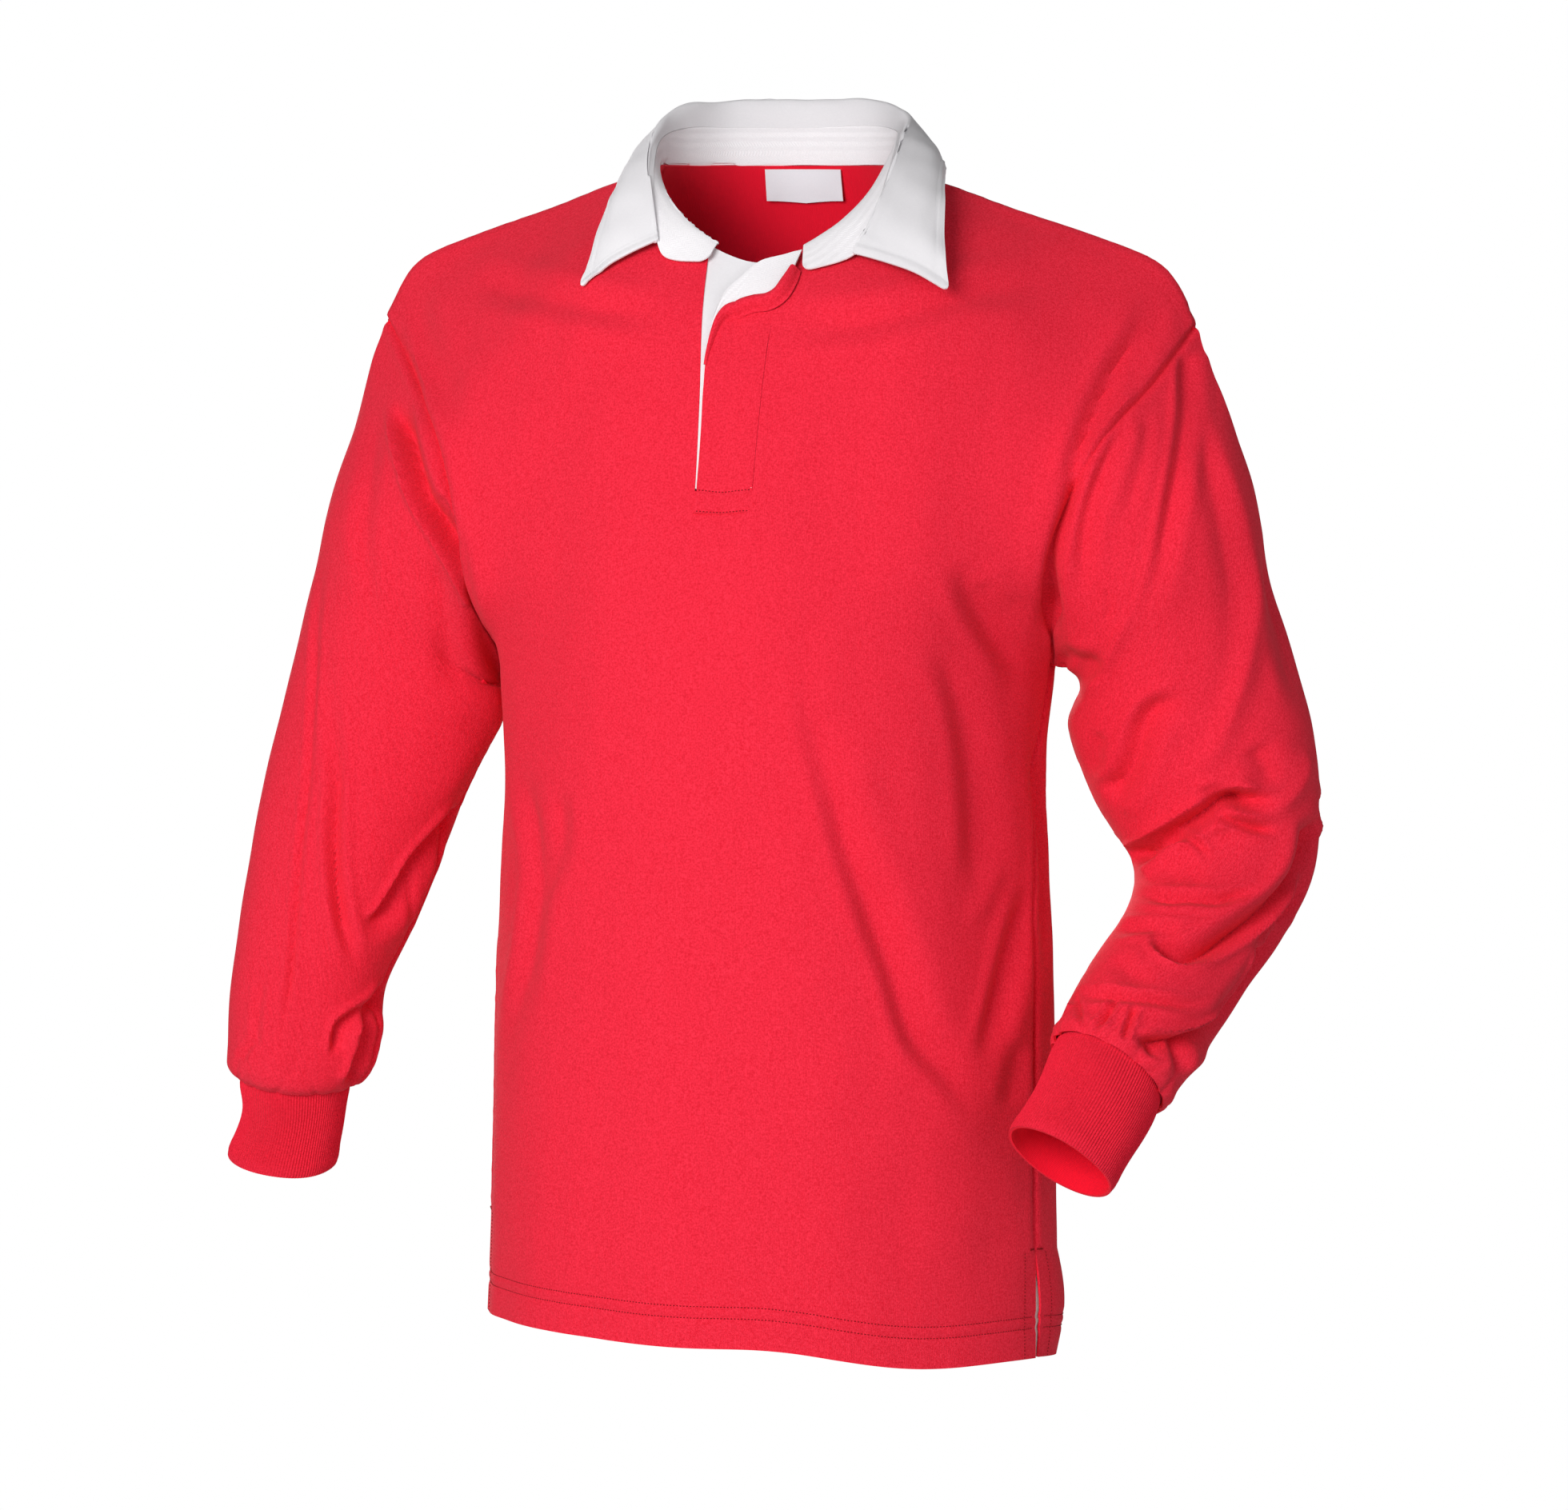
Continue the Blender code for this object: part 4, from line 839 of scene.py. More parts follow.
@dataclass
class Cloth:
    """One piece of cloth as a grid of points on its outer face.

    Attributes:
        name: Name of the piece.
        points: Grid of points, rows first.
        wall: Thickness.
        closed: True if the rows meet themselves, as on a tube.
        flip: True if the grid's own normals point inwards.
        rows: Parameter of each row, such as its station.
        columns: Parameter of each column, such as its share.
        top: Column from which widths along the cloth are measured.
        keep: Which cells are cloth; None means all.
    """

    name: str
    points: Array
    wall: float
    closed: bool = False
    flip: bool = False
    rows: Array | None = None
    columns: Array | None = None
    top: int = 0
    keep: Array | None = None
    normals: Array = field(init=False)
    heights: Array = field(init=False)
    uv: Array = field(init=False)

    def __post_init__(self) -> None:
        """Work out the normals and the widths and lengths along the cloth."""
        self.normals = self.fresh_normals()
        self.heights = np.zeros(self.points.shape[:2])
        ring = closed_up(self.points, 1) if self.closed else self.points
        wide = run_lengths(ring.transpose(1, 0, 2)).T
        self.uv = np.stack([wide - wide[:, self.top][:, None], run_lengths(ring)], axis=-1)

    def fresh_normals(self) -> Array:
        """Return the outward normals of the points as they are."""
        return grid_normals(self.points, self.closed) * (-1 if self.flip else 1)

    def settle(self) -> None:
        """Move the points by their heights, and take the normals afresh."""
        self.points = self.points + self.normals * self.heights[..., None]
        self.heights = np.zeros_like(self.heights)
        self.normals = self.fresh_normals()

    def at(self, column: Array, row: Array, rise: Array) -> Array:
        """Return points over the cloth.

        Args:
            column: Column parameters.
            row: Row parameters.
            rise: Distances out from the face.

        Returns:
            A point for each trio.
        """
        column, row, rise = np.broadcast_arrays(column, row, rise)
        x = np.interp(column, self.columns, np.arange(len(self.columns)))
        y = np.interp(row, self.rows, np.arange(len(self.rows)))
        left = np.clip(np.floor(x).astype(int), 0, len(self.columns) - 2)
        low = np.clip(np.floor(y).astype(int), 0, len(self.rows) - 2)
        over, up = (x - left)[..., None], (y - low)[..., None]
        spot = np.zeros(rise.shape + (3,))
        for down, tall in ((0, 1 - up), (1, up)):
            for side, wide in ((0, 1 - over), (1, over)):
                place = (low + down, left + side)
                spot += (self.points[place] + self.normals[place] * rise[..., None]) * tall * wide
        return spot

    def facing(self, column: Array, row: Array) -> Array:
        """Return the outward direction at the given parameters."""
        return unit(self.at(column, row, np.ones_like(row)) - self.at(column, row, np.zeros_like(row)))

    def beside(self, border: Border, inset: float, start: float, end: float) -> tuple[Array, Array]:
        """Return the parameters of a line that runs beside a border.

        Args:
            border: The border.
            inset: Distance of the line from the border.
            start: Parameter at which the line starts.
            end: Parameter at which it ends.

        Returns:
            The column and the row parameter of each point of the line.
        """
        by_row = border in (Border.FIRST_ROW, Border.LAST_ROW)
        lengths = self.uv[..., 1] if by_row else self.uv[..., 0].T
        across, along = (self.columns, self.rows) if by_row else (self.rows, self.columns)
        if border in (Border.LAST_ROW, Border.LAST_COLUMN):
            lengths, along = lengths[::-1], along[::-1]
        lengths = np.abs(lengths - lengths[:1])
        depth = [np.interp(inset, lengths[:, place], along) for place in range(len(across))]
        spots = np.linspace(start, end, LINE_SPOTS)
        depth = np.interp(spots, across, depth)
        return (spots, depth) if by_row else (depth, spots)

    def round_corner(self, last_row: bool, radius: float) -> None:
        """Round a corner at the end of the last column.

        Args:
            last_row: True for the corner at the last row, False for the first.
            radius: Radius of the corner.
        """
        wide, long = self.uv[..., 0], self.uv[..., 1]
        from_column = np.abs(wide[:, -1:] - wide)
        from_row = np.abs(long[-1:] - long) if last_row else long
        u = np.clip(1 - from_column / radius, 0.0, 1.0)
        v = np.clip(1 - from_row / radius, 0.0, 1.0)
        across = radius * (u - u * np.sqrt(1 - v**2 / 2))
        down = radius * (v - v * np.sqrt(1 - u**2 / 2))
        column = self.columns - across / np.abs(np.gradient(wide, self.columns, axis=1))
        step = down / np.abs(np.gradient(long, self.rows, axis=0))
        row = self.rows[:, None] + (-step if last_row else step)
        self.points = self.at(column, row, 0.0)
        self.normals = self.fresh_normals()

    def make(self, material: Material, sharp: float = 50.0) -> Thing:
        """Make the piece as a closed shell.

        Args:
            material: Its finish.
            sharp: Angle in degrees above which an edge stays sharp.

        Returns:
            The finished object.
        """
        count, across = self.points.shape[:2]
        cells = across if self.closed else across - 1
        row, column = np.mgrid[0:count - 1, 0:cells]
        if self.keep is not None:
            row, column = row[self.keep], column[self.keep]
        row, column = row.ravel(), column.ravel()
        beside = (column + 1) % across
        corners = np.stack([
            row * across + column, row * across + beside,
            (row + 1) * across + beside, (row + 1) * across + column,
        ], axis=1)
        uv = np.stack([
            self.uv[row, column], self.uv[row, column + 1],
            self.uv[row + 1, column + 1], self.uv[row + 1, column],
        ], axis=1)
        if self.flip:
            corners, uv = corners[:, ::-1], uv[:, ::-1]
        used, numbers = np.unique(corners, return_inverse=True)
        body = mesh_object(self.name, self.points.reshape(-1, 3)[used], numbers.reshape(-1, 4), uv)
        add_wall(body, self.wall)
        mark = body.data.attributes.new(REVERSE, "FLOAT", "POINT")
        behind = np.arange(len(body.data.vertices)) >= len(used)
        mark.data.foreach_set("value", behind.astype(np.float32))
        finish_mesh(body, material, sharp)
        return body


def creased(piece: Cloth, inside: Array) -> Array:
    """Return how far all creases raise a piece's points, where inside is 1 away from its seams."""
    return sum(sheet.heights(piece.points, piece.normals, piece.name, inside) for sheet in SHEETS)


def mesh_object(name: str, points: Array, faces: Array, uv: Array | None = None) -> Thing:
    """Make an object from points and faces of one size, and link it to the scene.

    Args:
        name: Name of the object.
        points: Its points.
        faces: Numbers of the corners of each face.
        uv: Place of each corner on the cloth, or None.

    Returns:
        The new object.
    """
    mesh = bpy.data.meshes.new(name)
    mesh.vertices.add(len(points))
    mesh.vertices.foreach_set("co", np.ascontiguousarray(points, dtype=np.float32).ravel())
    mesh.loops.add(faces.size)
    mesh.loops.foreach_set("vertex_index", np.ascontiguousarray(faces, dtype=np.int32).ravel())
    mesh.polygons.add(len(faces))
    starts = np.arange(0, faces.size, faces.shape[1], dtype=np.int32)
    mesh.polygons.foreach_set("loop_start", starts)
    if uv is not None:
        layer = mesh.uv_layers.new(name=CLOTH_UV)
        layer.data.foreach_set("uv", np.ascontiguousarray(uv, dtype=np.float32).ravel())
    mesh.update(calc_edges=True)
    body = bpy.data.objects.new(name, mesh)
    bpy.context.scene.collection.objects.link(body)
    return body


def choose(body: Thing) -> None:
    """Select one object only, and make it the active one.

    Args:
        body: The object.
    """
    bpy.ops.object.select_all(action="DESELECT")
    body.select_set(True)
    bpy.context.view_layer.objects.active = body


def add_wall(body: Thing, wall: float) -> None:
    """Give a sheet its thickness, inwards from its face.

    Args:
        body: The sheet.
        wall: Its thickness.
    """
    choose(body)
    shell = body.modifiers.new("wall", "SOLIDIFY")
    shell.thickness = wall
    shell.offset = -1.0
    bpy.ops.object.modifier_apply(modifier=shell.name)


def finish_mesh(body: Thing, material: Material, sharp: float) -> None:
    """Smooth a piece's shading and give it its material.

    Args:
        body: The piece.
        material: Its finish.
        sharp: Angle in degrees above which an edge stays sharp.
    """
    body.data.materials.clear()
    body.data.materials.append(material)
    choose(body)
    bpy.ops.object.shade_smooth_by_angle(angle=math.radians(sharp))


def sew(first: Cloth, first_places: tuple, second: Cloth, second_places: tuple) -> None:
    """Let two pieces share the points of a seam, by giving both the mean there.

    Args:
        first: One piece.
        first_places: Index arrays of its seam points.
        second: The other piece.
        second_places: Index arrays of its seam points, in the same order.
    """
    normal = unit(first.normals[first_places] + second.normals[second_places])
    height = (first.heights[first_places] + second.heights[second_places]) / 2
    for piece, places in ((first, first_places), (second, second_places)):
        piece.normals[places] = normal
        piece.heights[places] = height


# ---------------------------------------------------------------- body and sleeves


@dataclass(frozen=True)
class Seams:
    """How seams lie in the cloth: a narrow valley with small puckers beside it."""

    valley: float = 2.4 * MM
    valley_width: float = 1.9 * MM
    ridge: float = 0.5 * MM
    ridge_place: float = 6.0 * MM
    ridge_width: float = 3.0 * MM
    pucker: float = 0.18 * MM
    pucker_width: float = 7.0 * MM
    pucker_length: float = 11.0 * MM
    pucker_count: int = 5

    def heights(self, away: Array, along: Array, seed: int) -> Array:
        """Return the heights beside a seam.

        Args:
            away: Distance of each point from the seam, along the cloth.
            along: Place of each point along the seam.
            seed: Seed of the puckers.

        Returns:
            A height for each point, in metres.
        """
        random = np.random.default_rng(seed)
        waves = np.zeros_like(along)
        for _ in range(self.pucker_count):
            length = self.pucker_length * random.uniform(0.7, 1.9)
            waves += np.sin(along * 2 * math.pi / length + random.uniform(0, TURN))
        return (
            -self.valley * bell(away, self.valley_width)
            + self.ridge * bell(away - self.ridge_place, self.ridge_width)
            + self.pucker * waves / math.sqrt(self.pucker_count) * bell(away, self.pucker_width)
        )


@dataclass(frozen=True)
class Gathers:
    """Small uneven folds where a sleeve is gathered into its cuff."""

    seed: int
    count: int = 13
    height: float = 2.2 * MM
    reach: float = 0.017
    bulge: float = 3.4 * MM
    bulge_above: float = 0.006
    bulge_width: float = 0.007

    def heights(self, angle: Array, above: Array) -> Array:
        """Return the heights of the gathers.

        Args:
            angle: Angle of each point round the sleeve.
            above: Distance of each point above the cuff seam.

        Returns:
            A height for each point, in metres.
        """
        random = np.random.default_rng(self.seed)
        total = np.zeros_like(angle)
        centres = (np.arange(self.count) + random.uniform(-0.3, 0.3, self.count)) / self.count
        for centre in centres * 2 * math.pi:
            size = random.uniform(0.45, 1.0)
            width = random.uniform(0.045, 0.09)
            reach = self.reach * random.uniform(0.5, 1.6)
            drift = random.uniform(-0.25, 0.25)
            off = apart(angle, centre + drift * above / self.reach)
            rise = np.exp(-((above / reach) ** 1.4))
            total += -size * self.height * np.exp(-((off / width) ** 1.5)) * rise
        return total + self.bulge * bell(above - self.bulge_above, self.bulge_width)


@dataclass(frozen=True)
class HemShape:
    """How the hem and the vents hang away from the plain curves of the body.

    The back swings out below the vent on the wearer's left, and the front swings in. The corner
    on the right sits a little higher, and the front's hem has broad waves: height in
    millimetres, share of the middle and width.
    """

    swing: float = 4.5 * MM
    swing_from: float = 0.80
    swing_turn: float = 1.08
    edge_part: float = 0.3
    front_part: float = 0.2
    bulge_share: float = 0.84
    bulge_width: float = 0.13
    corner_from: float = 0.93
    corner_top: float = 0.12
    corner_rise: float = 0.4
    waves: tuple[Trio, ...] = ((3.2, 0.15, 0.20), (-4.2, 0.58, 0.24))
    wave_top: float = 0.5

    def hang(self, front: Array, back: Array, shares: Array, stations: Array) -> None:
        """Shape the hem and the vents.

        Args:
            front: Grid of the front panel, changed in place.
            back: Grid of the back panel, changed in place.
            shares: Share of each column, negative on the wearer's right.
            stations: Station of each row.
        """
        near = ease(shares, self.swing_from, 1.0)
        below = np.clip(1 - stations, 0.0, 1.0)[:, None]
        swing = np.sin(math.pi * below * self.swing_turn)
        bulge = bell(shares - self.bulge_share, self.bulge_width)
        back[..., 0] += swing * self.swing * (self.edge_part * near + bulge)
        front[..., 0] -= below * near * self.swing * self.front_part
        near_right = ease(-shares, self.corner_from, 1.0)
        rounding = np.clip(1 - stations / self.corner_top, 0.0, 1.0)[:, None]
        for grid in (front, back):
            grid[..., 2] += rounding * near_right * self.corner_rise * MM
        low = (1 - ease(stations, 0.0, self.wave_top))[:, None]
        front[..., 2] += low * sum(high * bell(shares - share, wide) for high, share, wide in self.waves) * MM


class Swell(NamedTuple):
    """A broad swell of a sleeve, or a hollow: its angle, station, height in mm and widths."""

    angle: float
    station: float
    height: float
    wide: float
    tall: float


SWELLS = {
    "sleeve_left": (Swell(0.0, 4.6, 9.5, 0.75, 1.4), Swell(math.pi, 6.4, -6.0, 0.7, 1.6)),
    "sleeve_right": (Swell(0.0, 2.45, 7.4, 0.85, 1.0), Swell(0.0, 1.0, 5.0, 0.7, 0.45)),
}


@dataclass
class Body:
    """Front, back and sleeves: the jersey pieces that are sewn to each other.

    The panels' edge at an armhole stands proud of the sleeve, so its seam has sizes of its own.
    """

    pattern: BodyPattern = BodyPattern()
    hem: HemShape = HemShape()
    seams: Seams = Seams()
    hole_seams: Seams = Seams(valley=2.8 * MM, ridge=1.7 * MM, ridge_place=4.6 * MM, ridge_width=3.2 * MM)
    jersey: float = 1.6 * MM
    placket_share: float = 0.09
    placket_station: float = 8.0
    placket_foot: float = 7.72
    placket_sink: float = 2.6 * MM
    sink_shares: tuple[float, float] = (0.060, 0.086)
    body_rows: int = 22
    yoke_rows: int = 20
    hem_rows: int = 20
    hem_stations: float = 0.4
    sleeve_rows: int = 18
    cap_rows: int = 46
    hem_depth: float = 18.5 * MM
    hem_gap: float = 7.0 * MM
    hem_press: float = 0.7 * MM
    hem_widths: tuple[float, float] = (2.0 * MM, 1.6 * MM)
    calm: float = 0.03
    calm_by_cuff: float = 0.02
    drape: Ripple = Ripple(11, 1.7 * MM, 0.07, 0.16, 12, (1.0, 1.0, 0.22))
    crumple: Ripple = Ripple(23, 0.35 * MM, 0.022, 0.06, 18, (1.0, 1.0, 0.6))

    def folds(self, piece: Cloth, inside: Array, free: Array) -> Array:
        """Return the heights of a piece's creases, and of its drape where the cloth is free."""
        waves = self.drape.heights(piece.points) + self.crumple.heights(piece.points)
        return creased(piece, inside) + waves * free

    def half_shares(self) -> Array:
        """Return the shares of the columns of half a panel, finest by the placket and seam."""
        inner = np.linspace(0.0, self.placket_share, 7)
        middle = np.linspace(self.placket_share, self.pattern.neck_share, 26)[1:]
        outer = np.linspace(self.pattern.neck_share, 0.985, 41)[1:]
        return np.concatenate([inner, middle, outer, [0.990, 0.995, 1.0]])

    def stations(self) -> Array:
        """Return the stations of the rows of a panel, finest at the hem."""
        armpit, top = self.pattern.armpit, self.pattern.top
        hem = np.linspace(0.0, self.hem_stations, self.hem_rows + 1)
        body = np.linspace(self.hem_stations, armpit, int((armpit - self.hem_stations) * self.body_rows) + 1)
        yoke = np.linspace(armpit, top, (top - armpit) * self.yoke_rows + 1)
        return np.concatenate([hem, body[1:], yoke[1:-1], [top - 0.02, top]])

    def panels(self) -> tuple[Cloth, Cloth]:
        """Return the front and the back before any crease."""
        half, stations = self.half_shares(), self.stations()
        shares = np.concatenate([-half[:0:-1], half])
        front = self.pattern.panel(True, half, stations)
        back = self.pattern.panel(False, half, stations)
        self.pattern.join_sides(front, back, shares, stations)
        self.hem.hang(front, back, shares, stations)
        middle = len(half) - 1
        pieces = []
        for name, grid, flip in (("front_panel", front, False), ("back_panel", back, True)):
            pieces.append(Cloth(name, grid, self.jersey, False, flip, stations, shares, middle))
        notch = np.ones((len(stations) - 1, len(shares) - 1), bool)
        row = nearest(stations, self.placket_station)
        column = nearest(shares, self.placket_share) - middle
        notch[row:, middle - column:middle + column] = False
        pieces[0].keep = notch
        return pieces[0], pieces[1]

    def armhole(self, front: Cloth, back: Cloth, side: int) -> tuple[Array, Array, tuple, tuple]:
        """Return an armhole's points and where they lie on the panels.

        Args:
            front: The front panel.
            back: The back panel.
            side: 1 for the wearer's left, -1 for the right.

        Returns:
            The points, their angles, and the index arrays on front and back.
        """
        armpit = nearest(front.rows, self.pattern.armpit)
        last = len(front.rows) - 1
        column = 0 if side < 0 else front.points.shape[1] - 1
        up = np.arange(armpit, last + 1)
        down = np.arange(last - 1, armpit, -1)
        points = np.concatenate([front.points[up, column], back.points[down, column]])
        half = self.pattern.top - self.pattern.armpit
        rise = (front.rows[up] - self.pattern.armpit) / half
        fall = 2 - (back.rows[down] - self.pattern.armpit) / half
        angles = np.concatenate([rise, fall]) * math.pi
        on_front = (up, np.full(len(up), column))
        on_back = (down, np.full(len(down), column))
        return points, angles, on_front, on_back

    def press_panel(self, panel: Cloth) -> None:
        """Set the heights of a panel: creases, drape, seams and hem.

        Args:
            panel: The panel.
        """
        wide, long = panel.uv[..., 0], panel.uv[..., 1]
        from_left = wide - wide[:, :1]
        from_right = wide[:, -1:] - wide
        from_top = long[-1:] - long
        station = panel.rows[:, None]
        seamed = ease(station, 0.95, 1.1)
        edge = np.minimum(from_left, from_right)
        free = ease(edge, 0.0, self.calm) * ease(from_top, 0.0, self.calm)
        inside = ease(edge, -0.004, 0.010)
        heights = self.folds(panel, inside, free)
        high = ease(station, self.pattern.armpit, self.pattern.armpit + 0.4)
        for away, seed in ((from_left, 3), (from_right, 4)):
            side_seam = self.seams.heights(away, long, seed)
            hole_seam = self.hole_seams.heights(away, long, seed)
            heights += (side_seam + (hole_seam - side_seam) * high) * seamed
        on_shoulder = ease(np.abs(panel.columns), self.pattern.neck_share, self.pattern.neck_share + 0.03)
        heights += self.seams.heights(from_top, wide, 5) * on_shoulder
        low, high = self.hem_widths
        hem = bell(long - self.hem_depth, low) + bell(long - self.hem_depth - self.hem_gap, high)
        panel.heights = heights - self.hem_press * hem

    def sleeve(self, arm: SleevePattern, name: str, hole: Array, angles: Array) -> tuple[Cloth, Array]:
        """Return a sleeve before it is sewn in, and its rings.

        Args:
            arm: The sleeve's pattern.
            name: Name of the piece.
            hole: Points of the armhole.
            angles: Angle of each point.

        Returns:
            The sleeve, and the rings down to the cuff's mouth.
        """
        loops = arm.loops(hole, angles)
        seam = len(arm.rings)
        cap = np.linspace(0.0, 1.0, self.cap_rows + 1)
        steps = np.linspace(1.0, seam, (seam - 1) * self.sleeve_rows + 1)
        stations = np.concatenate([[0.0, 0.010], cap[1:], steps[1:-1], [seam - 0.035, seam]])
        grid, top = smooth(loops, stations), nearest(angles, math.pi)
        return Cloth(name, grid, self.jersey, True, arm.side == 1, stations, angles, top), loops

    def swell(self, piece: Cloth) -> Array:
        """Return the broad swells and hollows of a sleeve, which shape its outline.

        Args:
            piece: The sleeve.

        Returns:
            A height for each point, in metres.
        """
        total = np.zeros(piece.points.shape[:2])
        for angle, station, height, wide, tall in SWELLS[piece.name]:
            around = bell(apart(piece.columns, angle), wide)[None, :]
            total += height * MM * around * bell(piece.rows - station, tall)[:, None]
        return total

    def press_sleeve(self, piece: Cloth, seed: int) -> None:
        """Set the heights of a sleeve: creases, drape, seams and gathers.

        Args:
            piece: The sleeve.
            seed: Seed of its seams' puckers and its gathers.
        """
        wide, long = piece.uv[:, :-1, 0], piece.uv[:, :-1, 1]
        above = long[-1:] - long
        around = piece.uv[:, -1:, 0] - piece.uv[:, :1, 0]
        from_seam = wide - wide[:, :1]
        from_seam = np.minimum(from_seam, around - from_seam)
        free = ease(long, 0.0, self.calm) * ease(above, 0.0, self.calm_by_cuff)
        inside = ease(long, -0.004, 0.012) * ease(above, 0.0, 0.012)
        heights = self.folds(piece, inside, free)
        heights += self.seams.heights(long, wide, seed)
        heights += self.seams.heights(from_seam, long, seed + 1)
        heights += Gathers(seed).heights(np.broadcast_to(piece.columns, long.shape), above)
        piece.heights = heights + self.swell(piece)

    def build(self) -> tuple[dict[str, Cloth], dict[str, Array]]:
        """Return every jersey piece with its creases, sewn to its neighbours.

        Returns:
            The pieces by name, and the rings of each arm, left and right.
        """
        front, back = self.panels()
        for panel in (front, back):
            self.press_panel(panel)
        result = {"front_panel": front, "back_panel": back}
        last = len(front.rows) - 1
        armpit = nearest(front.rows, self.pattern.armpit)
        vent = nearest(front.rows, 1.0)
        neck = np.where(np.abs(front.columns) >= self.pattern.neck_share)[0]
        for column in (0, front.points.shape[1] - 1):
            up = np.arange(vent, armpit + 1)
            places = (up, np.full(len(up), column))
            sew(front, places, back, places)
        places = (np.full(len(neck), last), neck)
        sew(front, places, back, places)
        rings = {}
        for arm, name, seed in ((LEFT_ARM, "left", 31), (RIGHT_ARM, "right", 41)):
            hole, angles, on_front, on_back = self.armhole(front, back, arm.side)
            piece, rings[name] = self.sleeve(arm, "sleeve_" + name, hole, angles)
            self.press_sleeve(piece, seed)
            count = len(on_front[0])
            zero = np.zeros(count, int)
            sew(front, on_front, piece, (zero, np.arange(count)))
            rest = np.arange(count, len(angles))
            sew(back, on_back, piece, (np.zeros(len(rest), int), rest))
            ends = (np.array([on_front[0][0], on_front[0][-1]]), np.array([on_front[1][0]] * 2))
            back.heights[ends] = front.heights[ends]
            back.normals[ends] = front.normals[ends]
            result["sleeve_" + name] = piece
        for piece in result.values():
            piece.settle()
        return result, rings

    def sink_placket(self, front: Cloth) -> None:
        """Sink the front panel under the foot of the fly, so that the fly lies nearly flush.

        Args:
            front: The front panel.
        """
        inner = 1 - ease(np.abs(front.columns)[None, :], *self.sink_shares)
        under = inner * ease(front.rows[:, None], self.placket_foot, self.placket_foot + 0.08)
        front.points = front.points - front.normals * (under * self.placket_sink)[..., None]


# ---------------------------------------------------------------- cuffs


@dataclass
class Cuff:
    """A ribbed cuff: a tube whose ribs run down the arm, tucked a little way into the sleeve."""

    ribs: int = 120
    points_per_rib: int = 4
    rows: int = 18
    rib_height: float = 0.28 * MM
    wall: float = 2.0 * MM
    tuck_stations: float = 0.12
    tuck_length: float = 0.028
    swell: float = 1.2 * MM
    uneven: Ripple = Ripple(7, 0.5 * MM, 0.03, 0.07, 8)

    def build(self, name: str, arm: SleevePattern, loops: Array) -> Cloth:
        """Return the cuff.

        Args:
            name: Name of the piece.
            arm: Pattern of its sleeve.
            loops: Rings of the sleeve and cuff.

        Returns:
            The ribbed tube.
        """
        count = self.ribs * self.points_per_rib
        angles = np.linspace(0.0, TURN, count + 1)[:-1]
        hole = sample(closed_up(loops[0]), np.arange(len(loops[0]) + 1),
                      np.linspace(0.0, len(loops[0]), count + 1)[:-1])
        rings = arm.loops(hole, angles)[len(arm.rings):]
        stations = np.linspace(-self.tuck_stations, len(arm.cuff), self.rows + 1)
        grid = smooth(rings, np.maximum(stations, 0.0))
        down = unit(rings[0].mean(axis=0) - rings[1].mean(axis=0))
        grid += down * (np.maximum(-stations, 0.0) * self.tuck_length)[:, None, None]
        piece = Cloth(name, grid, self.wall, True, arm.side == 1, stations, angles, count // 2)
        share = np.linspace(0.0, 1.0, self.rows + 1)[:, None]
        wave = np.cos(angles * self.ribs)[None, :]
        waist = -self.swell * bell(share - 0.04, 0.10)
        mouth = self.swell * 0.6 * bell(share - 0.93, 0.08)
        uneven = self.uneven.heights(piece.points)
        fade = ease(share, 0.0, 0.05) * (1 - 0.6 * ease(share, 0.97, 1.0))
        piece.heights = self.rib_height * wave * fade + waist + mouth + uneven * ease(share, 0.0, 0.3)
        piece.settle()
        piece.uv[..., 0] = np.append(angles, TURN)[None, :] * self.ribs / TURN
        return piece


# ---------------------------------------------------------------- collar


@dataclass(frozen=True)
class CollarRow:
    """One place round the neck.

    turn is the place on the neckline in degrees from the centre back. band is the top of the
    band, roll the highest point of the leaf, of the given radius, and edge the leaf's free edge.
    """

    name: str
    turn: float
    band: Trio
    roll: Trio = (0.0, 0.0, 0.0)
    radius: float = 0.0
    edge: Trio = (0.0, 0.0, 0.0)


NAPE = CollarRow("nape", 0.0, (0.0, 0.093, 0.036), (0.0, 0.099, 0.0545), 0.0040, (0.0, 0.121, 0.0))


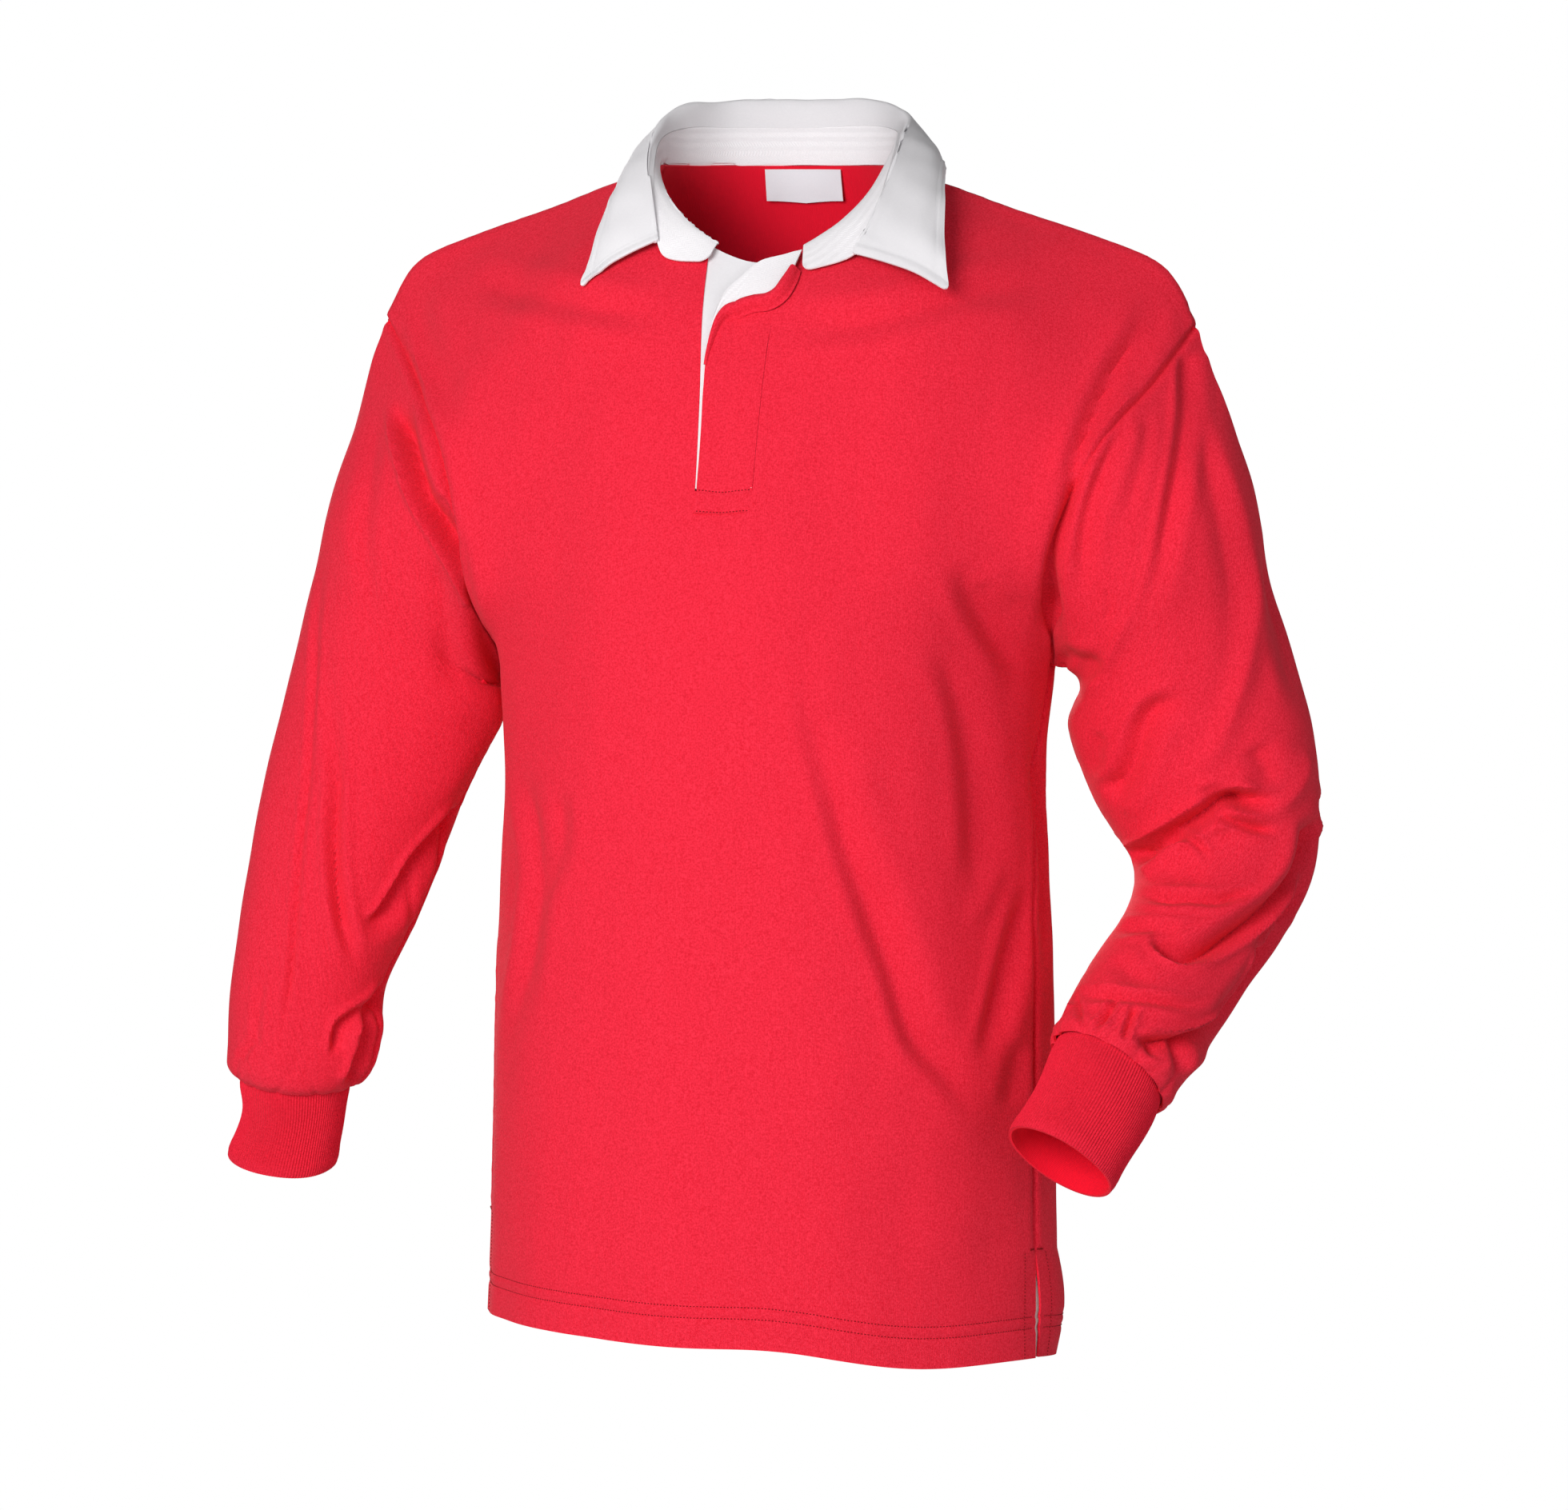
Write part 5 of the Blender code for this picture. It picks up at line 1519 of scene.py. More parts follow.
@dataclass
class Collar:
    """The collar: a band of tape round the neck, and the twill leaf that falls from it."""

    left: tuple[CollarRow, ...] = (
        NAPE,
        CollarRow("back", 35.0, (0.044, 0.081, 0.035), (0.048, 0.087, 0.051), 0.0040,
                  (0.062, 0.108, -0.004)),
        CollarRow("corner", 65.0, (0.069, 0.052, 0.029), (0.076, 0.053, 0.038), 0.0040,
                  (0.093, 0.066, -0.002)),
        CollarRow("side", 90.0, (0.079, 0.016, 0.018), (0.083, 0.015, 0.022), 0.0018, (0.108, 0.018, 0.0)),
        CollarRow("chest", 115.0, (0.081, -0.016, -0.006), (0.084, -0.018, -0.003), 0.0012,
                  (0.118, -0.022, -0.022)),
        CollarRow("front", 133.0, (0.079, -0.040, -0.032), (0.080, -0.043, -0.030), 0.0008,
                  (0.125, -0.050, -0.054)),
        CollarRow("end", 146.0, (0.070, -0.055, -0.057), (0.071, -0.057, -0.057), 0.0004,
                  (0.132, -0.066, -0.083)),
    )
    left_tip: tuple[CollarRow, ...] = (
        CollarRow("tip", 152.0, (0.038, -0.062, -0.068)),
    )
    right: tuple[CollarRow, ...] = (
        NAPE,
        CollarRow("back", 35.0, (-0.044, 0.081, 0.036), (-0.048, 0.087, 0.053), 0.0040,
                  (-0.062, 0.108, -0.004)),
        CollarRow("corner", 65.0, (-0.067, 0.052, 0.034), (-0.073, 0.053, 0.047), 0.0040,
                  (-0.088, 0.066, 0.002)),
        CollarRow("side", 90.0, (-0.075, 0.016, 0.024), (-0.078, 0.015, 0.028), 0.0018,
                  (-0.093, 0.018, 0.004)),
        CollarRow("chest", 115.0, (-0.070, -0.018, 0.002), (-0.073, -0.020, 0.004), 0.0010,
                  (-0.094, -0.024, -0.016)),
        CollarRow("front", 135.0, (-0.063, -0.040, -0.025), (-0.064, -0.043, -0.024), 0.0006,
                  (-0.099, -0.048, -0.045)),
        CollarRow("end", 150.0, (-0.057, -0.054, -0.047), (-0.058, -0.056, -0.047), 0.0004,
                  (-0.104, -0.062, -0.077)),
    )
    right_tip: tuple[CollarRow, ...] = (
        CollarRow("curve", 157.0, (-0.048, -0.059, -0.058)),
        CollarRow("tip", 165.5, (-0.0225, -0.0615, -0.0605)),
    )
    steps: int = 14
    leaf_points: int = 52
    band_points: int = 15
    clearance: float = 1.9 * MM
    tip_radius: float = 6.5 * MM
    end_radius: float = 7.0 * MM
    topstitch_inset: float = 4.2 * MM
    topstitch_depth: float = 0.8 * MM
    topstitch_width: float = 1.1 * MM
    stand_reach: float = 6.0 * MM
    leaf_bow: float = 0.004
    leaf_arch: float = 0.002
    band_rise: float = 0.35
    leaf_wall: float = 1.2 * MM
    band_wall: float = 1.0 * MM
    crumple: Ripple = Ripple(57, 0.45 * MM, 0.016, 0.05, 16)
    pucker: Ripple = Ripple(71, 0.5 * MM, 0.012, 0.03, 8)

    def half(self, pattern: BodyPattern, rows: tuple, tips: tuple, side: int) -> tuple[list, list]:
        """Return the profiles of one side of the band and of the leaf, from back to front.

        Args:
            pattern: Pattern of the body, for its neckline.
            rows: Places round the neck that have a leaf.
            tips: Places beyond the leaf.
            side: 1 for the wearer's left, -1 for the right.

        Returns:
            The profiles of the band and of the leaf.
        """
        bands, leaves = [], []
        for row in rows + tips:
            foot = pattern.neckline(row.turn, side)
            top = np.array(row.band)
            rise = np.array([0.0, 0.0, self.band_rise * np.linalg.norm(top - foot)])
            t = np.linspace(0.0, 1.0, self.band_points)[:, None]
            bands.append((1 - t) ** 2 * foot + 2 * t * (1 - t) * (foot + rise) + t**2 * top)
        up = np.array([0.0, 0.0, 1.0])
        for row in rows:
            seam, roll, edge = np.array(row.band), np.array(row.roll), np.array(row.edge)
            out = unit((edge - seam) * (1.0 - up))
            before = roll - out * row.radius * 0.8 - up * row.radius
            after = roll + out * row.radius - up * row.radius * 0.8
            middle = (after + edge) / 2 + out * self.leaf_bow + up * self.leaf_arch
            profile = np.array([seam, before, roll, after, middle, edge])
            leaves.append(smooth(profile, np.linspace(0, len(profile) - 1, self.leaf_points)))
        return bands, leaves

    def spread(self, right: list, left: list) -> Array:
        """Return the grid through the profiles of both sides, which share the first one."""
        return finer(np.array(right[:0:-1] + left), self.steps)

    def stand_off(self, grid: Array, panel: Cloth, gap: float) -> Array:
        """Return a grid with the points that lie nearer than gap to a panel moved off it.

        Args:
            grid: Grid of points.
            panel: The panel under it.
            gap: Least distance between the faces.

        Returns:
            The moved grid.
        """
        faces = panel.points.reshape(-1, 3)
        outward = panel.normals.reshape(-1, 3)
        tree = KDTree(len(faces))
        for number, point in enumerate(faces):
            tree.insert(point, number)
        tree.balance()
        result = grid.copy()
        for place in np.ndindex(grid.shape[:2]):
            _, number, _ = tree.find(result[place])
            away = result[place] - faces[number]
            height = away @ outward[number]
            aside = np.linalg.norm(away - height * outward[number])
            if height < gap and aside < self.stand_reach:
                result[place] += outward[number] * (gap - height)
        return result

    def on_edge(self, panel: Cloth, points: Array) -> Array:
        """Return points of the neckline moved to a panel's real top edge.

        Args:
            panel: The panel.
            points: The points.

        Returns:
            The moved points.
        """
        edge = panel.points[-1]
        starts, runs = edge[:-1], np.diff(edge, axis=0)
        result = points.copy()
        for number, point in enumerate(points):
            share = np.einsum("ij,ij->i", point - starts, runs) / np.einsum("ij,ij->i", runs, runs)
            spots = starts + np.clip(share, 0.0, 1.0)[:, None] * runs
            result[number] = spots[np.argmin(np.linalg.norm(spots - point, axis=1))]
        result[:, 2] += 0.3 * MM
        return result

    def build(self, pattern: BodyPattern, front: Cloth, back: Cloth) -> tuple[Cloth, Cloth]:
        """Return the band and the leaf.

        Args:
            pattern: Pattern of the body.
            front: The finished front panel.
            back: The finished back panel.

        Returns:
            The two pieces of cloth.
        """
        left_band, left_leaf = self.half(pattern, self.left, self.left_tip, 1)
        right_band, right_leaf = self.half(pattern, self.right, self.right_tip, -1)
        band = self.spread(right_band, left_band)
        leaf = self.spread(right_leaf, left_leaf)
        start = len(self.right_tip) * self.steps
        ahead = band[:, 0, 1] < pattern.shoulder_seam[0][1]
        band[ahead, 0] = self.on_edge(front, band[ahead, 0])
        band[~ahead, 0] = self.on_edge(back, band[~ahead, 0])
        rows = np.arange(len(leaf)) / (len(leaf) - 1)
        columns = np.linspace(0.0, 1.0, self.leaf_points)
        cloth = Cloth("collar_leaf", leaf, self.leaf_wall, rows=rows, columns=columns)
        share = cloth.columns[None, :]
        wave = self.crumple.heights(cloth.points) * ease(share, 0.05, 0.3)
        edge = self.pucker.heights(cloth.points)
        creases = creased(cloth, share)
        wide, long = cloth.uv[..., 0], cloth.uv[..., 1]
        border = np.minimum(np.minimum(long, long[-1:] - long), np.abs(wide[:, -1:] - wide))
        groove = self.topstitch_depth * bell(border - self.topstitch_inset, self.topstitch_width)
        groove = groove * ease(share, 0.1, 0.2)
        cloth.heights = wave + edge * ease(share, 0.8, 1.0) + creases - groove
        cloth.settle()
        for last in (False, True):
            cloth.round_corner(last, self.tip_radius)
        leaf = self.stand_off(cloth.points, front, self.clearance)
        leaf = self.stand_off(leaf, back, self.clearance)
        band = self.stand_off(band, front, self.clearance * 0.9)
        leaf[:, 0] = band[start:start + len(leaf), -1]
        along = np.arange(len(band)) / (len(band) - 1)
        across = np.linspace(0.0, 1.0, self.band_points)
        strip = Cloth("collar_band", band, self.band_wall, rows=along, columns=across)
        for last in (False, True):
            strip.round_corner(last, self.end_radius)
        return strip, Cloth("collar_leaf", leaf, self.leaf_wall, rows=rows, columns=columns)


# ---------------------------------------------------------------- placket, label and vent tape


class StripRow(NamedTuple):
    """One level of a strip on the front: its level, left and right shares, and its rise."""

    level: float
    left: float
    right: float
    rise: float = 0.0


class RollRow(NamedTuple):
    """One place of the rolled facing: share, level, half width and how far it stands out."""

    share: float
    level: float
    half: float
    rise: float


class TapeRow(NamedTuple):
    """One place of the tape behind the roll: its share, upper and lower level, and rise."""

    share: float
    upper: float
    lower: float
    rise: float


@dataclass
class Placket:
    """The half-open front: fly, white strip under it, rolled facing and tape."""

    fly: tuple[StripRow, ...] = (
        StripRow(7.72, -0.089, 0.089),
        StripRow(8.0, -0.085, 0.089),
        StripRow(8.6, -0.0805, 0.089),
        StripRow(9.1, -0.0785, 0.089, 0.0003),
        StripRow(9.40, -0.0745, 0.089, 0.0006),
        StripRow(9.65, -0.063, 0.089, 0.0009),
        StripRow(9.92, -0.045, 0.090, 0.0011),
        StripRow(10.18, -0.022, 0.092, 0.0012),
    )
    under: tuple[StripRow, ...] = (
        StripRow(8.03, -0.100, 0.086),
        StripRow(9.5, -0.100, 0.086),
        StripRow(10.95, -0.106, 0.086, -0.0012),
    )
    roll: tuple[RollRow, ...] = (
        RollRow(-0.0745, 9.36, 0.0008, 0.0026),
        RollRow(-0.067, 9.54, 0.0012, 0.0036),
        RollRow(-0.057, 9.74, 0.0018, 0.0048),
        RollRow(-0.043, 9.95, 0.0026, 0.0062),
        RollRow(-0.023, 10.10, 0.0034, 0.0074),
        RollRow(0.004, 10.18, 0.0038, 0.0080),
        RollRow(0.040, 10.18, 0.0038, 0.0082),
        RollRow(0.076, 10.13, 0.0038, 0.0082),
        RollRow(0.102, 10.18, 0.0036, 0.0080),
        RollRow(0.114, 10.36, 0.0032, 0.0078),
        RollRow(0.118, 10.56, 0.0024, 0.0072),
    )
    tape: tuple[TapeRow, ...] = (
        TapeRow(0.118, 10.93, 10.50, 0.0038),
        TapeRow(0.090, 10.96, 10.24, 0.0040),
        TapeRow(0.039, 10.92, 10.20, 0.0040),
        TapeRow(0.005, 10.68, 10.20, 0.0040),
        TapeRow(-0.036, 10.32, 10.08, 0.0036),
        TapeRow(-0.060, 9.92, 9.74, 0.0030),
    )
    roll_profile: tuple[tuple[float, float], ...] = (
        (-0.85, 0.35), (-1.0, 0.70), (-0.45, 0.95), (0.25, 0.97), (0.85, 0.62), (1.2, 0.22), (1.7, 0.0),
    )
    box_rows: tuple[float, float] = (0.014, 0.146)
    box_depth: float = 0.55 * MM
    box_width: float = 0.009
    fly_rise: float = 0.35 * MM
    fold_rise: float = 0.9 * MM
    seam_dip: float = 0.5 * MM
    fold_dip: float = 0.7 * MM
    under_sink: float = 2.1 * MM
    under_rise: float = 1.8 * MM
    roll_low: float = 1.6 * MM
    seam_width: float = 0.05
    fold_width: float = 0.03
    fold_end: float = 0.35
    under_ramp: tuple[float, float] = (0.035, 0.055)
    calm_foot: tuple[float, float] = (0.25, 0.5)
    fly_columns: int = 27
    fly_steps: int = 24
    under_columns: int = 56
    under_steps: int = 40
    roll_columns: int = 24
    roll_steps: int = 10
    tape_columns: int = 14
    tape_steps: int = 12
    jersey: float = 1.6 * MM
    twill: float = 1.2 * MM
    taping: float = 1.0 * MM
    crumple: Ripple = Ripple(83, 0.3 * MM, 0.02, 0.05, 12)

    def strip(self, rows: tuple, front: Cloth, extra: Array, steps: int) -> Array:
        """Return the grid of a strip that lies on the front panel.

        Args:
            rows: The strip's levels.
            front: The front panel.
            extra: Rise of each column above that of its row.
            steps: Rows for each gap between levels.

        Returns:
            The grid of points.
        """
        level, left, right, rise = finer(rows, steps).T[..., None]
        across = np.linspace(0.0, 1.0, len(extra))
        return front.at(left + (right - left) * across, level, extra + rise * (1 - across))

    def build_fly(self, front: Cloth) -> Cloth:
        """Return the fly, flush at its seam and slightly proud at its folded edge.

        Args:
            front: The front panel.

        Returns:
            The piece.
        """
        across = np.linspace(0.0, 1.0, self.fly_columns)
        extra = self.fly_rise + self.fold_rise * (1 - ease(across, 0.0, self.fold_end))
        extra = extra - self.seam_dip * bell(across - 1.0, self.seam_width)
        extra = extra - self.fold_dip * bell(across, self.fold_width)
        grid = self.strip(self.fly, front, extra, self.fly_steps)
        rows = np.linspace(0.0, 1.0, len(grid))
        piece = Cloth("placket_fly", grid, self.jersey, rows=rows, columns=across, top=len(across) - 1)
        piece.heights = self.crumple.heights(grid) * 0.7 * ease(rows, *self.calm_foot)[:, None]
        for row in self.box_rows:
            piece.heights = piece.heights - self.box_depth * bell(rows - row, self.box_width)[:, None]
        piece.settle()
        return piece

    def build_under(self, front: Cloth) -> Cloth:
        """Return the white strip under the opening.

        Args:
            front: The front panel.

        Returns:
            The piece.
        """
        across = np.linspace(0.0, 1.0, self.under_columns)
        extra = -self.under_sink + self.under_rise * ease(across, *self.under_ramp)
        grid = self.strip(self.under, front, extra, self.under_steps)
        return Cloth("placket_under", grid, self.twill, rows=np.linspace(0, 1, len(grid)), columns=across)

    def build_roll(self, front: Cloth) -> Cloth:
        """Return the rolled top of the fly's facing.

        Args:
            front: The front panel.

        Returns:
            The piece.
        """
        share, level, half, rise = finer(self.roll, self.roll_steps).T
        centre = front.at(share, level, 0.0)
        out = unit(front.at(share, level, rise) - centre)
        side = unit(np.cross(np.gradient(centre, axis=0), out))
        around = np.linspace(0.0, len(self.roll_profile) - 1.0, self.roll_columns)
        profile = smooth(self.roll_profile, around)[None]
        rise = self.roll_low + (rise - self.roll_low)[:, None, None] * profile[..., 1:]
        grid = centre[:, None] + side[:, None] * half[:, None, None] * profile[..., :1] + out[:, None] * rise
        rows, columns = np.linspace(0, 1, len(grid)), np.linspace(0, 1, len(around))
        piece = Cloth("placket_facing", grid, self.taping, rows=rows, columns=columns, top=len(around) // 2)
        piece.heights = self.crumple.heights(grid) * 0.8
        piece.settle()
        return piece

    def build_tape(self, front: Cloth) -> Cloth:
        """Return the tape that shows behind the rolled facing.

        Args:
            front: The front panel.

        Returns:
            The piece.
        """
        share, upper, lower, rise = finer(self.tape, self.tape_steps).T[..., None]
        across = np.linspace(0.0, 1.0, self.tape_columns)
        grid = front.at(share, upper + (lower - upper) * across, rise)
        return Cloth("placket_tape", grid, self.taping, rows=np.linspace(0, 1, len(grid)), columns=across)


@dataclass
class Trims:
    """The blank label in the neck and the tape in the vent."""

    label_half: float = 0.100
    label_levels: tuple[float, ...] = (10.97, 10.80, 10.63)
    label_depths: tuple[float, ...] = (0.0031, 0.0040, 0.0044)
    label_wall: float = 0.6 * MM
    tape_reach: float = 4.0 * MM
    tape_depth: float = 0.6 * MM
    tape_wall: float = 1.0 * MM
    label_columns: int = 25
    label_steps: int = 8
    label_curl: float = 0.8 * MM
    curl_ramp: tuple[float, float] = (0.06, 0.1)
    tape_columns: int = 9

    def label(self, back: Cloth) -> Cloth:
        """Return the label, which hangs inside the back from the neckline.

        Args:
            back: The back panel.

        Returns:
            The piece.
        """
        level = finer(self.label_levels, self.label_steps)[:, None]
        depth = finer(self.label_depths, self.label_steps)[:, None]
        at = np.linspace(0.0, len(self.label_levels) - 1.0, len(level))
        share = np.linspace(-self.label_half, self.label_half, self.label_columns)
        curl = self.label_curl * ease(np.abs(share), *self.curl_ramp) * ease(at[:, None], 1.0, 2.0)
        grid = back.at(share, level, -depth - curl)
        return Cloth("neck_label", grid, self.label_wall, rows=at, columns=share, top=len(share) // 2)

    def vent_tape(self, front: Cloth, back: Cloth) -> Cloth:
        """Return the tape inside the vent on the wearer's left.

        Args:
            front: The front panel.
            back: The back panel.

        Returns:
            The piece.
        """
        rows = np.where(front.rows <= 1.0)[0]
        lines = []
        for piece in (front, back):
            edge = piece.points[rows, -1]
            along = unit(piece.points[rows, -5] - edge)
            inward = piece.normals[rows, -4] * (piece.wall + self.tape_depth)
            lines.append(edge + along * self.tape_reach - inward)
        across = np.linspace(0.0, 1.0, self.tape_columns)
        t = across[None, :, None]
        grid = lines[0][:, None] * (1 - t) + lines[1][:, None] * t
        return Cloth("vent_tape_left", grid, self.tape_wall, rows=front.rows[rows], columns=across)


# ---------------------------------------------------------------- stitches


@dataclass
class Stitching:
    """Rows of stitches: each stitch is a short thread with rounded ends."""

    length: float = 2.0 * MM
    pitch: float = 2.7 * MM
    radius: float = 0.22 * MM
    points: list = field(default_factory=list)
    faces: list = field(default_factory=list)
    count: int = 0
    nearby: float = 0.4 * MM

    def run(self, path: Array, outward: Array) -> None:
        """Add a row of stitches.

        Args:
            path: Points of the row.
            outward: Direction out of the cloth at each point.
        """
        lengths = run_lengths(path)
        count = int(lengths[-1] / self.pitch)
        if count < 1:
            return
        middles = (np.arange(count) + 0.5) * lengths[-1] / count
        ahead = sample(path, lengths, middles + self.nearby)
        along = unit(ahead - sample(path, lengths, middles - self.nearby))
        self.place(sample(path, lengths, middles), along, unit(sample(outward, lengths, middles)))

    def place(self, centre: Array, along: Array, out: Array) -> None:
        """Add stitches.

        Args:
            centre: Middle of each stitch.
            along: Direction of each stitch.
            out: Direction out of the cloth at each.
        """
        side = unit(np.cross(along, out))
        corners = []
        for place, size, lift in STITCH_RINGS:
            middle = centre + along * self.length * place + out * self.radius * lift
            if size == 0.0:
                corners.append(middle[:, None])
                continue
            turns = np.linspace(0.0, TURN, STITCH_SIDES + 1)[:-1]
            ring = [middle + (side * math.cos(a) + out * math.sin(a)) * self.radius * size for a in turns]
            corners.append(np.stack(ring, axis=1))
        points = np.concatenate(corners, axis=1)
        number = points.shape[1]
        last = number - 1 - STITCH_SIDES
        faces = []
        for k in range(STITCH_SIDES):
            beside = (k + 1) % STITCH_SIDES
            faces.append((0, 1 + k, 1 + beside, 1 + beside))
            for low in range(1, last, STITCH_SIDES):
                high = low + STITCH_SIDES
                faces.append((low + k, high + k, high + beside, low + beside))
            faces.append((last + k, number - 1, last + beside, last + beside))
        shape = np.array(faces)
        starts = self.count + np.arange(len(points))[:, None, None] * number
        self.points.append(points.reshape(-1, 3))
        self.faces.append((starts + shape[None]).reshape(-1, 4))
        self.count += points.shape[0] * number

    def make(self, name: str, material: Material) -> Thing:
        """Make all rows so far as one piece.

        Args:
            name: Name of the piece.
            material: Its finish.

        Returns:
            The finished object.
        """
        faces = [tuple(dict.fromkeys(face)) for face in np.concatenate(self.faces).tolist()]
        mesh = bpy.data.meshes.new(name)
        mesh.from_pydata(np.concatenate(self.points).tolist(), [], faces)
        body = bpy.data.objects.new(name, mesh)
        bpy.context.scene.collection.objects.link(body)
        choose(body)
        bpy.ops.object.mode_set(mode="EDIT")
        bpy.ops.mesh.select_all(action="SELECT")
        bpy.ops.mesh.normals_make_consistent(inside=False)
        bpy.ops.object.mode_set(mode="OBJECT")
        finish_mesh(body, material, STITCH_SHARP)
        return body


@dataclass
class Threads:
    """All the visible stitches of the shirt."""

    hem_insets: tuple[float, float] = (18.5 * MM, 25.5 * MM)
    vent_inset: float = 11.5 * MM
    leaf_side_inset: float = 4.5 * MM
    leaf_edge_inset: float = 3.9 * MM
    band_inset: float = 1.6 * MM
    rise: float = 0.05 * MM
    tack_rise: float = 0.25 * MM
    tack_stitches: int = 6
    tack_share: float = 0.972
    tack_step: float = 0.004
    tack_station: float = 1.02
    tack_reach: float = 0.02
    hem_end: float = 0.985
    fly_span: tuple[float, float] = (0.03, 0.97)
    fly_spots: int = 60
    leaf_edge_span: tuple[float, float] = (0.012, 0.988)
    leaf_side_span: tuple[float, float] = (0.1, 0.95)
    band_span: tuple[float, float] = (0.02, 0.98)
    red: Stitching = field(default_factory=lambda: Stitching(1.4 * MM, 2.1 * MM, 0.34 * MM))
    white: Stitching = field(default_factory=lambda: Stitching(1.7 * MM, 2.3 * MM, 0.17 * MM))

    def row(self, thread: Stitching, piece: Cloth, column: Array, row: Array) -> None:
        """Add a row of stitches on a piece, at the given parameters."""
        column, row = np.broadcast_arrays(column, row)
        thread.run(piece.at(column, row, self.rise), piece.facing(column, row))

    def hems(self, front: Cloth, back: Cloth) -> None:
        """Sew the hems, the vents and the tacks at their tops.

        Args:
            front: The front panel.
            back: The back panel.
        """
        for piece in (front, back):
            for inset in self.hem_insets:
                row = piece.beside(Border.FIRST_ROW, inset, -self.hem_end, self.hem_end)
                self.row(self.red, piece, *row)
            for border, side in ((Border.FIRST_COLUMN, -1.0), (Border.LAST_COLUMN, 1.0)):
                self.row(self.red, piece, *piece.beside(border, self.vent_inset, 0.0, 1.0))
                for step in range(self.tack_stitches):
                    self.tack(piece, side * (self.tack_share + self.tack_step * step), self.tack_station)

    def tack(self, piece: Cloth, share: float, station: float) -> None:
        """Add one stitch of a bar tack.

        Args:
            piece: The panel.
            share: Column parameter of the stitch.
            station: Row parameter of the stitch.
        """
        share, station = np.array([share]), np.array([station])
        centre = piece.at(share, station, self.tack_rise)
        above = piece.at(share, station + self.tack_reach, self.tack_rise)
        self.red.place(centre, unit(above - centre), piece.facing(share, station))

    def placket(self, fly: Cloth, rows: tuple[float, ...]) -> None:
        """Sew the box at the foot of the fly, along the given rows."""
        for row in rows:
            self.row(self.red, fly, np.linspace(*self.fly_span, self.fly_spots), row)

    def collar(self, leaf: Cloth, band: Cloth) -> None:
        """Sew along the free edges of the leaf and along the top and foot of the band.

        Args:
            leaf: The collar's leaf.
            band: The collar's band.
        """
        edge = leaf.beside(Border.LAST_COLUMN, self.leaf_edge_inset, *self.leaf_edge_span)
        self.row(self.white, leaf, *edge)
        for border in (Border.FIRST_ROW, Border.LAST_ROW):
            self.row(self.white, leaf, *leaf.beside(border, self.leaf_side_inset, *self.leaf_side_span))
        for border in (Border.LAST_COLUMN, Border.FIRST_COLUMN):
            self.row(self.white, band, *band.beside(border, self.band_inset, *self.band_span))

    def make(self, red: Material, white: Material) -> None:
        """Make the stitches as two pieces.

        Args:
            red: Finish of the red thread.
            white: Finish of the white thread.
        """
        for thread, name, finish in ((self.red, "red_stitches", red), (self.white, "white_stitches", white)):
            made = thread.make(name, finish)
            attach(made, "root")
            LOG.info("%s: %d faces", made.name, len(made.data.polygons))


# ---------------------------------------------------------------- finishes


class Weave(Enum):
    """Kinds of cloth surface."""

    JERSEY = "jersey"
    RIB = "rib"
    TWILL = "twill"
    HERRINGBONE = "herringbone"
    SATIN = "satin"
    THREAD = "thread"


@dataclass(frozen=True)
class Finish:
    """One finish: its colours, weave and sheen. The darker colour holds random colour differences and painted
    shade in the weave's low parts.
    """

    name: str
    weave: Weave
    colour: Trio
    # shade: the darker colour, which the random flecks, streaks and patches reach, and which paints shade
    # into the weave's low parts
    shade: Trio
    roughness: float
    sheen: float
    sheen_tint: Trio
    bump: float
    speckle: float = 0.4
    # inner face colour: partly the reverse side of the cloth, partly painted shade, a more saturated red for
    # the inside of the neck and cuffs
    reverse_and_shade: Trio | None = None
    sheen_roughness: float = 0.45
    specular: float = 0.22
    # share of the weave's painted groove shade in the colour
    groove_shade_part: float = 0.25
    patch_scale: float = 34.0
    patch_part: float = 0.06
    fleck_scale: float = 900.0
    fleck_part: float = 1.2
    streak_scales: tuple[float, float] = (240.0, 760.0)
    streak_part: float = 0.35

    def make(self) -> Material:
        """Return the finish as a material."""
        material = bpy.data.materials.new(self.name)
        material.use_nodes = True
        graph = Graph(material.node_tree)
        u, v = graph.cloth_place()
        # the weave's second signal is painted shade: the colour is darker where the weave lies low
        height, groove_shade = WEAVES[self.weave](graph, u, v)
        place = graph.feed("ShaderNodeTexCoord").outputs["Object"]
        streaks = graph.join(graph.times(u, self.streak_scales[0]), graph.times(v, self.streak_scales[1]))
        amount = graph.times(graph.minus(groove_shade, 0.5), self.groove_shade_part)
        for noise, part in (
            (graph.noise(place, self.patch_scale, 3.0), self.speckle * self.patch_part),
            (graph.noise(place, self.fleck_scale, 0.0), self.speckle * self.fleck_part),
            (graph.noise(streaks, 1.0, 1.0), self.speckle * self.streak_part),
        ):
            amount = graph.plus(amount, graph.times(graph.minus(noise, 0.5), part))
        # blend from shade to colour: random colour differences plus the weave's painted groove shade
        colour = graph.blend(graph.plus(amount, 0.5), self.shade, self.colour)
        # inner faces take their own colour, which for the red knits is partly painted shade
        if self.reverse_and_shade:
            mark = graph.feed("ShaderNodeAttribute", attribute_name=REVERSE).outputs["Fac"]
            colour = graph.blend(mark, colour, self.reverse_and_shade)
        looks = {
            "Base Color": colour,
            "Roughness": self.roughness,
            "Specular IOR Level": self.specular,
            "Sheen Weight": self.sheen,
            "Sheen Roughness": self.sheen_roughness,
            "Sheen Tint": self.sheen_tint,
        }
        if self.bump > 0:
            bump = {"Strength": 1.0, "Distance": self.bump, "Height": height}
            looks["Normal"] = graph.feed("ShaderNodeBump", bump).outputs["Normal"]
        graph.set(material.node_tree.nodes["Principled BSDF"], looks)
        return material


